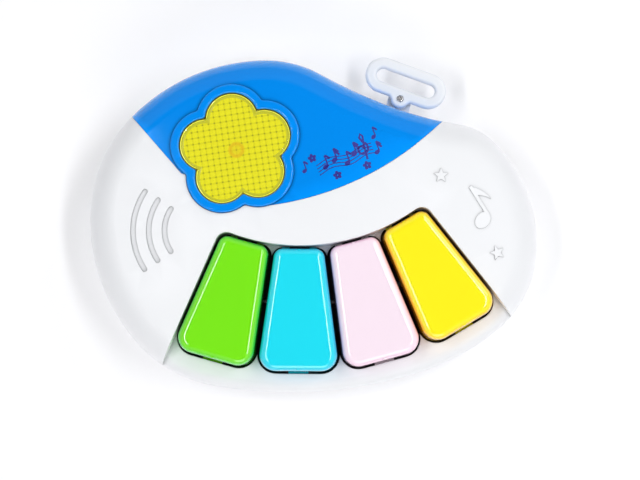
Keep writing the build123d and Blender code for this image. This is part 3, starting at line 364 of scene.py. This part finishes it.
def pyramid_field(cells):
    """A closed block whose top is a square field of pyramids, curved like the window above it."""
    mould = bmesh.new()
    half = cells * prism_pitch / 2
    turn = Matrix.Rotation(prism_lean, 4, "Z")
    middle = Vector((*flower_middle, 0.0))

    def at(column, row, height):
        spot = middle + turn @ Vector((column * prism_pitch - half, row * prism_pitch - half, 0.0))
        return mould.verts.new(under_crown(spot.x, spot.y, prism_depth - height))

    corners = [[at(i, j, 0.0) for j in range(cells + 1)] for i in range(cells + 1)]
    for i in range(cells):
        for j in range(cells):
            tip = at(i + 0.5, j + 0.5, prism_height)
            ring = (corners[i][j], corners[i + 1][j], corners[i + 1][j + 1], corners[i][j + 1])
            for k in range(4):
                mould.faces.new((ring[k], ring[(k + 1) % 4], tip))
    edge = corners[0] + [row[-1] for row in corners[1:]]
    edge += corners[-1][-2::-1] + [row[0] for row in reversed(corners[1:-1])]
    low = [mould.verts.new(v.co - Vector((0.0, 0.0, prism_floor))) for v in edge]
    for k in range(len(edge)):
        after = (k + 1) % len(edge)
        mould.faces.new((edge[after], edge[k], low[k], low[after]))
    mould.faces.new(low)
    bmesh.ops.recalc_face_normals(mould, faces=mould.faces)
    mesh = bpy.data.meshes.new("prism_plate")
    mould.to_mesh(mesh)
    mould.free()
    return mesh


def flower_block(grow, bottom, top):
    """The flower's outline as an upright block, for trimming the field of pyramids."""
    mould = bmesh.new()
    rim = [flower_edge(2 * pi * k / outline_points, grow) for k in range(outline_points)]
    lower = [mould.verts.new((x, y, bottom)) for x, y in rim]
    upper = [mould.verts.new((x, y, top)) for x, y in rim]
    mould.faces.new(reversed(lower))
    mould.faces.new(upper)
    for k in range(len(rim)):
        mould.faces.new((lower[k], lower[(k + 1) % len(rim)], upper[(k + 1) % len(rim)], upper[k]))
    mesh = bpy.data.meshes.new("flower_block")
    mould.to_mesh(mesh)
    mould.free()
    return mesh


def prism_finish():
    """Yellow acrylic: painted shade along the grooves between the pyramids, deeper where they cross, and
    the lamp's warm spot and an even glow over the plate as painted light.
    """
    finish = bpy.data.materials.new("prism_acrylic")
    finish.use_nodes = True
    tree = finish.node_tree
    add, link = tree.nodes.new, tree.links.new
    shader = tree.nodes["Principled BSDF"]
    coords, turned = add("ShaderNodeTexCoord"), add("ShaderNodeMapping")
    split = add("ShaderNodeSeparateXYZ")
    turned.vector_type = "TEXTURE"
    turned.inputs["Location"].default_value = (*flower_middle, 0.0)
    turned.inputs["Rotation"].default_value = (0.0, 0.0, prism_lean)
    turned.inputs["Scale"].default_value = (prism_pitch, prism_pitch, 1.0)
    link(coords.outputs["Object"], turned.inputs["Vector"])
    link(turned.outputs["Vector"], split.inputs[0])
    grooves = []
    for axis in ("X", "Y"):
        wave = add("ShaderNodeMath")
        wave.operation = "PINGPONG"
        wave.inputs[1].default_value = 0.5
        link(split.outputs[axis], wave.inputs[0])
        groove = add("ShaderNodeMapRange")
        groove.interpolation_type = "SMOOTHSTEP"
        groove.inputs["From Min"].default_value = 0.02
        groove.inputs["From Max"].default_value = 0.24
        groove.inputs["To Min"].default_value = 1.0
        groove.inputs["To Max"].default_value = 0.0
        link(wave.outputs[0], groove.inputs["Value"])
        grooves.append(groove.outputs["Result"])
    # Painted shade: the colour is darkened along the grooves between the pyramids, and more where two
    # grooves cross.
    painted_groove_shade, painted_pit_shade = add("ShaderNodeMath"), add("ShaderNodeMath")
    painted_groove_shade.operation = "MAXIMUM"
    painted_pit_shade.operation = "MULTIPLY"
    for node in (painted_groove_shade, painted_pit_shade):
        link(grooves[0], node.inputs[0])
        link(grooves[1], node.inputs[1])
    colour = add("ShaderNodeRGB").outputs[0]
    colour.default_value = (0.90, 0.84, 0.004, 1.0)
    for mask, shade, share in ((painted_groove_shade.outputs[0], (0.62, 0.58, 0.0, 1.0), 0.7),
                               (painted_pit_shade.outputs[0], (0.20, 0.19, 0.0, 1.0), 0.85)):
        weight, mix = add("ShaderNodeMath"), add("ShaderNodeMix")
        weight.operation = "MULTIPLY"
        weight.inputs[1].default_value = share
        mix.data_type = "RGBA"
        link(mask, weight.inputs[0])
        link(weight.outputs[0], mix.inputs["Factor"])
        link(colour, mix.inputs[mix_from])
        mix.inputs[mix_to].default_value = shade
        colour = mix.outputs[mix_result]
    # Painted light: a warm ring in the middle, the lamp under the window glowing through.
    spread, near = add("ShaderNodeVectorMath"), add("ShaderNodeMapRange")
    spot, warm = add("ShaderNodeValToRGB"), add("ShaderNodeMix")
    spread.operation = "LENGTH"
    link(turned.outputs["Vector"], spread.inputs[0])
    near.inputs["From Max"].default_value = 2.0
    link(spread.outputs["Value"], near.inputs["Value"])
    glow_steps = ((0.0, 0.25), (0.30, 0.30), (0.48, 0.85), (0.60, 0.75), (0.74, 0.0), (1.0, 0.0))
    for position, _ in glow_steps[1:-1]:
        spot.color_ramp.elements.new(position)
    for stop, (_, shade) in zip(spot.color_ramp.elements, glow_steps):
        stop.color = (shade, shade, shade, 1.0)
    link(near.outputs["Result"], spot.inputs["Fac"])
    warm.data_type = "RGBA"
    link(spot.outputs["Color"], warm.inputs["Factor"])
    link(colour, warm.inputs[mix_from])
    warm.inputs[mix_to].default_value = (0.80, 0.46, 0.0, 1.0)
    link(warm.outputs[mix_result], shader.inputs["Base Color"])
    shader.inputs["Roughness"].default_value = 0.5
    shader.inputs["Specular IOR Level"].default_value = 0.1
    # Painted light: the whole plate glows in its own colour so that it reads evenly lit, though it is no
    # lamp.
    link(warm.outputs[mix_result], shader.inputs["Emission Color"])
    shader.inputs["Emission Strength"].default_value = 0.62
    return finish


prism_plate = linked("prism_plate", pyramid_field(prism_cells), prism_finish())
cutter_mesh = flower_block(-prism_border, lens_low.z - cutter_margin, lens_high.z + cutter_margin)
flower_cutter = linked("flower_cutter", cutter_mesh, prism_plate.data.materials[0])
trim = prism_plate.modifiers.new("trim", "BOOLEAN")
trim.operation = "INTERSECT"
trim.solver = "EXACT"
trim.object = flower_cutter
trimmed_plate = prism_plate.evaluated_get(bpy.context.evaluated_depsgraph_get())
trimmed = bpy.data.meshes.new_from_object(trimmed_plate)
prism_plate.modifiers.clear()
prism_plate.data = trimmed
bpy.data.objects.remove(flower_cutter)
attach(prism_plate, "housing")

# Window border: the clear bevelled margin round the pyramids, moulded in one with them. It
# lies just under the rim of the window and catches a bright line on each petal.
border_steps = ((0.0003, 0.0005), (0.0007, 0.0007), (0.0012, 0.0012), (0.0017, 0.0014))
border_turns = 240
border_points = [under_crown(*flower_edge(2 * pi * k / border_turns, -inward), depth)
                 for inward, depth in border_steps for k in range(border_turns)]
border_faces = []
for step in range(len(border_steps) - 1):
    for k in range(border_turns):
        after = (k + 1) % border_turns
        border_faces.append((step * border_turns + k, step * border_turns + after,
                             (step + 1) * border_turns + after, (step + 1) * border_turns + k))
border_mesh = bpy.data.meshes.new("window_border")
border_mesh.from_pydata(border_points, [], border_faces)
# Its turned-down faces are painted darker as painted shade, and it glows faintly in yellow as painted
# light.
border_clear = plastic("border_acrylic", (0.86, 0.86, 0.10), (0.55, 0.56, 0.02), polish=0.08, mottle=0.05,
                       grain=0.0, wear=0.0, coat=1.0, crease_shade=0.0)
border_shader = border_clear.node_tree.nodes["Principled BSDF"]
border_shader.inputs["Emission Color"].default_value = (0.80, 0.76, 0.03, 1.0)
border_shader.inputs["Emission Strength"].default_value = 0.35
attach(linked("window_border", border_mesh, border_clear), "housing")

# Printed marks: a wavy stave with notes and little flowers, pad-printed in purple ink on the
# blue cover. The ink is a thin film, laid on the cover's own curve.
mark_lift = 0.00003
mark_slope = radians(21.0)
mark_start = Vector((0.0030, 0.0235))
above_cover = 0.06
oval_points = 20
ink_mesh = bmesh.new()


def on_cover(x, y):
    """A point just above the cover, at a place given along and across the line of marks (mm)."""
    flat = mark_start + Vector((x * cos(mark_slope) - y * sin(mark_slope),
                                x * sin(mark_slope) + y * cos(mark_slope))) * 0.001
    straight_down = Vector((0.0, 0.0, -1.0))
    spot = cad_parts["front_cover"].ray_cast(Vector((*flat, above_cover)), straight_down)[1]
    return spot + Vector((0.0, 0.0, mark_lift))


def stroke(points, width):
    """A ribbon of ink along some points."""
    sides = []
    for k, (x, y) in enumerate(points):
        before, after = points[max(k - 1, 0)], points[min(k + 1, len(points) - 1)]
        slope = atan2(after[1] - before[1], after[0] - before[0]) + pi / 2
        across = (cos(slope) * width / 2, sin(slope) * width / 2)
        sides.append([ink_mesh.verts.new(on_cover(x + s * across[0], y + s * across[1]))
                      for s in (-1, 1)])
    for low, high in zip(sides, sides[1:]):
        ink_mesh.faces.new((low[0], high[0], high[1], low[1]))


def spot_of_ink(x, y, long, short, lean=0.0):
    """An ellipse of ink."""
    rim = []
    for k in range(oval_points):
        a = long * cos(2 * pi * k / oval_points)
        b = short * sin(2 * pi * k / oval_points)
        rim.append(ink_mesh.verts.new(on_cover(x + a * cos(lean) - b * sin(lean),
                                               y + a * sin(lean) + b * cos(lean))))
    ink_mesh.faces.new(rim)


def note(x, y, size, flags):
    """A music note: an oval head, a stem and its flags."""
    spot_of_ink(x, y, 0.95 * size, 0.68 * size, 0.4)
    stroke([(x + 0.8 * size, y + 0.2 * size), (x + 0.8 * size, y + 3.4 * size)], 0.42 * size)
    for flag in range(flags):
        top = y + (3.4 - 0.9 * flag) * size
        stroke([(x + (0.8 + 1.2 * t) * size, top - (0.5 * t + 0.9 * t * t) * size)
                for t in (0.0, 0.3, 0.6, 0.85, 1.0)], 0.65 * size)


def wave(x, y):
    """How high a line of the stave runs."""
    return y + 0.7 * sin(0.42 * x)


for line in range(4):
    stroke([(0.5 * k, wave(0.5 * k, -3.0 + 1.35 * line)) for k in range(-4, 44)], 0.30)
for x, y, size, flags in ((-7.0, 0.4, 1.05, 1), (1.4, -1.6, 1.3, 1), (5.6, -0.4, 1.3, 2),
                          (10.0, -2.2, 1.3, 1), (13.8, 0.0, 1.3, 2), (22.6, -2.8, 1.2, 2),
                          (23.4, 3.6, 1.1, 1)):
    note(x, wave(x, y), size, flags)
for x, y in ((-2.4, 4.0), (4.6, -5.9), (17.0, -6.4)):
    for petal in range(5):
        turn = radians(90 + 72 * petal)
        spot_of_ink(x + 1.0 * cos(turn), y + 1.0 * sin(turn), 0.75, 0.62, turn)
curl = [(17.4 + (0.7 + 0.16 * k) * cos(0.55 * k), 0.4 + (0.7 + 0.16 * k) * sin(0.55 * k))
        for k in range(14)]
stroke(curl, 0.85)
stroke([(18.0, -4.2), (18.3, -1.5), (18.8, 2.6), (19.4, 5.2), (18.7, 6.3), (17.9, 5.0), (18.6, 2.8)],
       0.75)

print_mesh = bpy.data.meshes.new("printed_marks")
ink_mesh.to_mesh(print_mesh)
ink_mesh.free()
ink = plastic("purple_ink", (0.022, 0.016, 0.26), polish=0.4, mottle=0.25, grain=0.05, wear=0.0,
              coat=0.0, crease_shade=0.0)
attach(linked("printed_marks", print_mesh, ink), "housing")


# Rubber domes: one under each key, moulded with the mat in translucent silicone. A dome
# collapses as its key goes down and pushes it back up.
def dome_mesh(name, x, y):
    """A dome turned from its section: the flange, the thin collapsing wall, the cap and its hollow."""
    section = ((0.0056, 0.01203), (0.0056, 0.0123), (0.0050, 0.0126), (0.0047, 0.0131),
               (0.0031, 0.0153), (0.0027, 0.0157), (0.0025, 0.0163), (0.0022, 0.01648),
               (0.0012, 0.0165), (0.0006, 0.01635), (0.0, 0.0163))
    hollow = ((0.0, 0.0149), (0.0014, 0.0149), (0.0014, 0.0144), (0.0018, 0.0144),
              (0.0020, 0.0149), (0.0026, 0.0148), (0.0042, 0.0126), (0.0044, 0.01203))
    sides = 40
    turns = [2 * pi * k / sides for k in range(sides)]
    mould = bmesh.new()
    rings = []
    for radius, height in section + hollow:
        if radius == 0.0:
            rings.append([mould.verts.new((x, y, height))])
        else:
            rings.append([mould.verts.new((x + radius * cos(turn), y + radius * sin(turn), height))
                          for turn in turns])
    for lower, upper in zip(rings, rings[1:] + rings[:1]):
        for k in range(sides):
            after = (k + 1) % sides
            if len(lower) == 1 and len(upper) == 1:
                break
            if len(upper) == 1:
                mould.faces.new((lower[k], lower[after], upper[0]))
            elif len(lower) == 1:
                mould.faces.new((lower[0], upper[after], upper[k]))
            else:
                mould.faces.new((lower[k], lower[after], upper[after], upper[k]))
    bmesh.ops.recalc_face_normals(mould, faces=mould.faces)
    for face in mould.faces:
        face.smooth = True
    mesh = bpy.data.meshes.new(name)
    mould.to_mesh(mesh)
    mould.free()
    return mesh


# The domes' and mat's sides are painted darker than their tops, as painted shade.
silicone = plastic("grey_silicone", (0.55, 0.56, 0.58), (0.42, 0.43, 0.46), polish=0.5, mottle=0.06,
                   grain=0.10, wear=0.15, coat=0.0, glow=0.35)
dress(silicone, "contact_mat")
for colour in ("green", "cyan", "pink", "yellow"):
    dome_low, dome_high = (Vector(corner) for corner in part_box("rubber_dome_" + colour))
    dome_name = "soft_dome_" + colour
    dome_x, dome_y = (dome_low.x + dome_high.x) / 2, (dome_low.y + dome_high.y) / 2
    dome = linked(dome_name, dome_mesh(dome_name, dome_x, dome_y), silicone)
    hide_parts("rubber_dome_" + colour)
    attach(dome, "housing")
    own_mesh(dome)

# Key chassis and light tray: inner ABS mouldings. The one that carries the keys is painted a very dark
# grey, painted shade that makes the gaps round the keys read dark; the white one throws the lamp's light
# up through the window. Screws hold both.
dress(plastic("chassis_abs", (0.045, 0.047, 0.052), polish=0.5, mottle=0.05, grain=0.08, wear=0.12,
              coat=0.0), "key_chassis")
dress(plastic("tray_abs", (0.90, 0.90, 0.84), polish=0.3, mottle=0.03, grain=0.03, wear=0.05, coat=0.1),
      "light_tray")

# Lamp: a 5 mm amber LED, cast in clear epoxy and soldered to its own small board.
# It is shown lit, so its body glows.
lamp_epoxy = plastic("amber_epoxy", (1.0, 0.42, 0.03), (0.95, 0.30, 0.02), polish=0.08, mottle=0.06,
                     grain=0.0, wear=0.1, coat=0.5)
lamp_shader = lamp_epoxy.node_tree.nodes["Principled BSDF"]
lamp_shader.inputs["Emission Strength"].default_value = 1.2
lamp_shader.inputs["Emission Color"].default_value = (1.0, 0.55, 0.08, 1.0)
dress(lamp_epoxy, "led")


# Circuit boards: brown paper-phenolic laminate under a green mask, with lighter copper tracks
# and tinned pads printed on the flat faces. The sawn edges stay bare.
def board_finish():
    """A laminate board: tracks run in a square pattern, pads sit on a grid."""
    finish = bpy.data.materials.new("board_laminate")
    finish.use_nodes = True
    tree = finish.node_tree
    add, link = tree.nodes.new, tree.links.new
    shader = tree.nodes["Principled BSDF"]
    coords, facing = add("ShaderNodeTexCoord"), add("ShaderNodeSeparateXYZ")
    link(coords.outputs["Normal"], facing.inputs[0])
    flat = add("ShaderNodeMath")
    flat.operation = "ABSOLUTE"
    link(facing.outputs["Z"], flat.inputs[0])
    printed = add("ShaderNodeMapRange")
    printed.inputs["From Min"].default_value = 0.7
    printed.inputs["From Max"].default_value = 0.9
    link(flat.outputs[0], printed.inputs["Value"])
    tracks, track_mask = add("ShaderNodeTexVoronoi"), add("ShaderNodeMapRange")
    tracks.distance = "CHEBYCHEV"
    tracks.feature = "F2"
    tracks.inputs["Scale"].default_value = 260.0
    tracks.inputs["Randomness"].default_value = 0.55
    link(coords.outputs["Object"], tracks.inputs["Vector"])
    track_mask.inputs["From Min"].default_value = 0.50
    track_mask.inputs["From Max"].default_value = 0.56
    link(tracks.outputs["Distance"], track_mask.inputs["Value"])
    pads, pad_mask = add("ShaderNodeTexVoronoi"), add("ShaderNodeMapRange")
    pads.inputs["Scale"].default_value = 330.0
    pads.inputs["Randomness"].default_value = 0.25
    link(coords.outputs["Object"], pads.inputs["Vector"])
    pad_mask.inputs["From Min"].default_value = 0.20
    pad_mask.inputs["From Max"].default_value = 0.24
    pad_mask.inputs["To Min"].default_value = 1.0
    pad_mask.inputs["To Max"].default_value = 0.0
    link(pads.outputs["Distance"], pad_mask.inputs["Value"])
    colour = None
    for mask, first, second in ((track_mask, (0.010, 0.10, 0.035, 1.0), (0.03, 0.23, 0.07, 1.0)),
                                (pad_mask, None, (0.62, 0.60, 0.56, 1.0)),
                                (printed, (0.30, 0.19, 0.08, 1.0), None)):
        mix = add("ShaderNodeMix")
        mix.data_type = "RGBA"
        link(mask.outputs["Result"], mix.inputs["Factor"])
        for socket, shade in ((mix.inputs[mix_from], first), (mix.inputs[mix_to], second)):
            if shade is None:
                link(colour, socket)
            else:
                socket.default_value = shade
        colour = mix.outputs[mix_result]
    link(colour, shader.inputs["Base Color"])
    step = add("ShaderNodeBump")
    step.inputs["Distance"].default_value = 0.00005
    step.inputs["Strength"].default_value = 0.6
    link(track_mask.outputs["Result"], step.inputs["Height"])
    link(step.outputs["Normal"], shader.inputs["Normal"])
    link(pad_mask.outputs["Result"], shader.inputs["Metallic"])
    shader.inputs["Roughness"].default_value = 0.32
    return finish


dress(board_finish(), "led_board", "key_board")

# Sound chip: a bare die under a hand-poured drop of black epoxy, glossy and a little uneven.
dress(plastic("poured_epoxy", (0.012, 0.012, 0.014), polish=0.16, mottle=0.3, grain=0.25,
              grain_scale=260.0, wear=0.0, coat=0.4), "sound_chip")


# Metal pieces: turned, stamped or drawn. Fine streaks follow the way they were worked, a dull
# film gathers in patches and the corners are rubbed bright.
def make_metal_group():
    group = bpy.data.node_groups.new("worked_metal", "ShaderNodeTree")
    for label, kind, start in (("Bright Colour", "NodeSocketColor", (0.7, 0.7, 0.7, 1.0)),
                               ("Dull Colour", "NodeSocketColor", (0.4, 0.4, 0.4, 1.0)),
                               ("Polish", "NodeSocketFloat", 0.3),
                               ("Stretch", "NodeSocketVector", (1.0, 1.0, 1.0)),
                               ("Film", "NodeSocketFloat", 0.5)):
        group.interface.new_socket(label, in_out="INPUT", socket_type=kind).default_value = start
    for label, kind in (("Colour", "NodeSocketColor"), ("Roughness", "NodeSocketFloat"),
                        ("Normal", "NodeSocketVector")):
        group.interface.new_socket(label, in_out="OUTPUT", socket_type=kind)
    add, link = group.nodes.new, group.links.new
    given, result = add("NodeGroupInput"), add("NodeGroupOutput")
    coords, geometry = add("ShaderNodeTexCoord"), add("ShaderNodeNewGeometry")
    patches = add("ShaderNodeTexNoise")
    patches.inputs["Scale"].default_value = 420.0
    patches.inputs["Detail"].default_value = 5.0
    link(coords.outputs["Object"], patches.inputs["Vector"])
    rubbed = add("ShaderNodeMapRange")
    for socket, value in (("From Min", 0.46), ("From Max", 0.58), ("To Min", 1.0), ("To Max", 0.0)):
        rubbed.inputs[socket].default_value = value
    link(geometry.outputs["Pointiness"], rubbed.inputs["Value"])
    film = rubbed.outputs["Result"]
    for factor in (patches.outputs["Fac"], given.outputs["Film"]):
        product = add("ShaderNodeMath")
        product.operation = "MULTIPLY"
        link(film, product.inputs[0])
        link(factor, product.inputs[1])
        film = product.outputs[0]
    mix = add("ShaderNodeMix")
    mix.data_type = "RGBA"
    link(film, mix.inputs["Factor"])
    link(given.outputs["Bright Colour"], mix.inputs[mix_from])
    link(given.outputs["Dull Colour"], mix.inputs[mix_to])
    link(mix.outputs[mix_result], result.inputs["Colour"])
    rough = add("ShaderNodeMath")
    rough.operation = "MULTIPLY_ADD"
    rough.inputs[1].default_value = 0.45
    link(film, rough.inputs[0])
    link(given.outputs["Polish"], rough.inputs[2])
    link(rough.outputs[0], result.inputs["Roughness"])
    drawn, streaks = add("ShaderNodeVectorMath"), add("ShaderNodeTexNoise")
    relief = add("ShaderNodeBump")
    drawn.operation = "MULTIPLY"
    link(coords.outputs["Object"], drawn.inputs[0])
    link(given.outputs["Stretch"], drawn.inputs[1])
    streaks.inputs["Scale"].default_value = 1.0
    link(drawn.outputs[0], streaks.inputs["Vector"])
    relief.inputs["Distance"].default_value = 0.00005
    relief.inputs["Strength"].default_value = 0.4
    link(streaks.outputs["Fac"], relief.inputs["Height"])
    link(relief.outputs["Normal"], result.inputs["Normal"])
    return group


metalwork = make_metal_group()


def metal(name, bright, dull, polish, stretch, film=0.6):
    """One kind of metal. Stretch is how fast the streaks change along each axis (per metre)."""
    finish = bpy.data.materials.new(name)
    finish.use_nodes = True
    tree = finish.node_tree
    shader = tree.nodes["Principled BSDF"]
    surface = tree.nodes.new("ShaderNodeGroup")
    surface.node_tree = metalwork
    for label, value in (("Bright Colour", (*bright, 1.0)), ("Dull Colour", (*dull, 1.0)),
                         ("Polish", polish), ("Stretch", stretch), ("Film", film)):
        surface.inputs[label].default_value = value
    for output, socket in (("Colour", "Base Color"), ("Roughness", "Roughness"), ("Normal", "Normal")):
        tree.links.new(surface.outputs[output], shader.inputs[socket])
    shader.inputs["Metallic"].default_value = 1.0
    return finish


# Screws: zinc-plated steel, self-tapping, driven upward into the bosses. Turning leaves level
# streaks round them.
dress(metal("zinc_plate", (0.72, 0.73, 0.76), (0.36, 0.36, 0.34), 0.28, (300.0, 300.0, 9000.0)),
      "light_screws", "board_screws", "chassis_screws", "housing_screws", "door_screw",
      "speaker_screws", "switch_screws")

# Hinge pins and loop pin: cut from drawn steel rod and pushed into their brackets and lug.
# The keys and the strap loop turn on them.
dress(metal("drawn_steel", (0.78, 0.78, 0.80), (0.45, 0.45, 0.46), 0.22, (400.0, 6000.0, 6000.0), 0.4),
      "hinge_pin_green", "hinge_pin_cyan", "hinge_pin_pink", "hinge_pin_yellow", "loop_pin")

# Board components: capacitors, a resistor and a crystal in tinned steel cans. Their leads are
# soldered under the board.
dress(metal("tinned_can", (0.62, 0.61, 0.58), (0.28, 0.26, 0.22), 0.38, (2000.0, 2000.0, 300.0), 0.9),
      "board_components")

# Battery contacts and springs: nickel-plated steel strip and wire, slid into the ends of the
# battery bay. They press on the cells' ends.
dress(metal("nickel_plate", (0.80, 0.77, 0.70), (0.42, 0.38, 0.30), 0.2, (500.0, 3000.0, 3000.0), 0.5),
      "battery_contacts", "battery_springs")


# Cells: two AA cells head to tail. A printed film in blue with a gold band and a ring of bare
# steel at each end; they come out through the door.
def cell_finish(name, nub_side):
    """Bands along X, counted from the end with the nub: bare steel, gold, blue, bare steel."""
    finish = bpy.data.materials.new(name)
    finish.use_nodes = True
    tree = finish.node_tree
    add, link = tree.nodes.new, tree.links.new
    shader = tree.nodes["Principled BSDF"]
    low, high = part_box(name)
    coords, split = add("ShaderNodeTexCoord"), add("ShaderNodeSeparateXYZ")
    along = add("ShaderNodeMapRange")
    link(coords.outputs["Object"], split.inputs[0])
    along.inputs["From Min"].default_value = low[0] if nub_side < 0 else high[0]
    along.inputs["From Max"].default_value = high[0] if nub_side < 0 else low[0]
    link(split.outputs["X"], along.inputs["Value"])
    outputs = []
    for bands in (((0.0, (0.62, 0.62, 0.63)), (0.045, (0.86, 0.52, 0.12)), (0.30, (0.02, 0.05, 0.24)),
                   (0.34, (0.03, 0.10, 0.42)), (0.86, (0.70, 0.70, 0.72)), (0.875, (0.03, 0.10, 0.42)),
                   (0.975, (0.60, 0.60, 0.62))),
                  ((0.0, (1.0,) * 3), (0.045, (0.35,) * 3), (0.30, (0.0,) * 3),
                   (0.86, (0.8,) * 3), (0.875, (0.0,) * 3), (0.975, (1.0,) * 3))):
        ramp = add("ShaderNodeValToRGB")
        ramp.color_ramp.interpolation = "CONSTANT"
        while len(ramp.color_ramp.elements) < len(bands):
            ramp.color_ramp.elements.new(0.5)
        for stop, (position, shade) in zip(ramp.color_ramp.elements, bands):
            stop.position = position
            stop.color = (*shade, 1.0)
        link(along.outputs["Result"], ramp.inputs["Fac"])
        outputs.append(ramp.outputs["Color"])
    link(outputs[0], shader.inputs["Base Color"])
    link(outputs[1], shader.inputs["Metallic"])
    scuffs, wrinkles = add("ShaderNodeTexNoise"), add("ShaderNodeMapRange")
    relief = add("ShaderNodeBump")
    scuffs.inputs["Scale"].default_value = 380.0
    scuffs.inputs["Detail"].default_value = 5.0
    link(coords.outputs["Object"], scuffs.inputs["Vector"])
    wrinkles.inputs["To Min"].default_value = 0.16
    wrinkles.inputs["To Max"].default_value = 0.42
    link(scuffs.outputs["Fac"], wrinkles.inputs["Value"])
    link(wrinkles.outputs["Result"], shader.inputs["Roughness"])
    relief.inputs["Distance"].default_value = 0.00006
    relief.inputs["Strength"].default_value = 0.3
    link(scuffs.outputs["Fac"], relief.inputs["Height"])
    link(relief.outputs["Normal"], shader.inputs["Normal"])
    return finish


dress(cell_finish("battery_1", -1), "battery_1")
dress(cell_finish("battery_2", 1), "battery_2")


# Speaker: a stamped steel basket, a black pulp cone glued into its rim, and a ferrite ring with
# plated plates behind it. Three screws hold it over the grille.
def speaker_paper_finish():
    """Pressed pulp: rings round the voice coil, fibres all over."""
    finish = bpy.data.materials.new("pulp_paper")
    finish.use_nodes = True
    tree = finish.node_tree
    add, link = tree.nodes.new, tree.links.new
    shader = tree.nodes["Principled BSDF"]
    low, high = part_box("speaker_cone")
    coords, centred = add("ShaderNodeTexCoord"), add("ShaderNodeMapping")
    rings = add("ShaderNodeTexWave")
    centred.inputs["Location"].default_value = (-(low[0] + high[0]) / 2, -(low[1] + high[1]) / 2, 0.0)
    link(coords.outputs["Object"], centred.inputs["Vector"])
    rings.wave_type = "RINGS"
    rings.rings_direction = "Z"
    rings.inputs["Scale"].default_value = 110.0
    link(centred.outputs["Vector"], rings.inputs["Vector"])
    fibres, shade = add("ShaderNodeTexNoise"), add("ShaderNodeValToRGB")
    height, relief = add("ShaderNodeMath"), add("ShaderNodeBump")
    fibres.inputs["Scale"].default_value = 2200.0
    fibres.inputs["Detail"].default_value = 6.0
    link(coords.outputs["Object"], fibres.inputs["Vector"])
    shade.color_ramp.elements[0].color = (0.012, 0.012, 0.012, 1.0)
    shade.color_ramp.elements[1].color = (0.075, 0.070, 0.065, 1.0)
    link(fibres.outputs["Fac"], shade.inputs["Fac"])
    link(shade.outputs["Color"], shader.inputs["Base Color"])
    height.operation = "ADD"
    link(fibres.outputs["Fac"], height.inputs[0])
    link(rings.outputs["Fac"], height.inputs[1])
    relief.inputs["Distance"].default_value = 0.00015
    relief.inputs["Strength"].default_value = 0.5
    link(height.outputs[0], relief.inputs["Height"])
    link(relief.outputs["Normal"], shader.inputs["Normal"])
    shader.inputs["Roughness"].default_value = 0.85
    return finish


dress(speaker_paper_finish(), "speaker_cone")
dress(metal("stamped_steel", (0.60, 0.61, 0.63), (0.30, 0.30, 0.31), 0.35, (700.0, 700.0, 700.0), 0.8),
      "speaker_frame")
dress(plastic("ferrite", (0.045, 0.045, 0.048), (0.055, 0.055, 0.06), polish=0.6, mottle=0.4, grain=0.5,
              grain_scale=3000.0, wear=0.6, coat=0.0), "speaker_magnet")
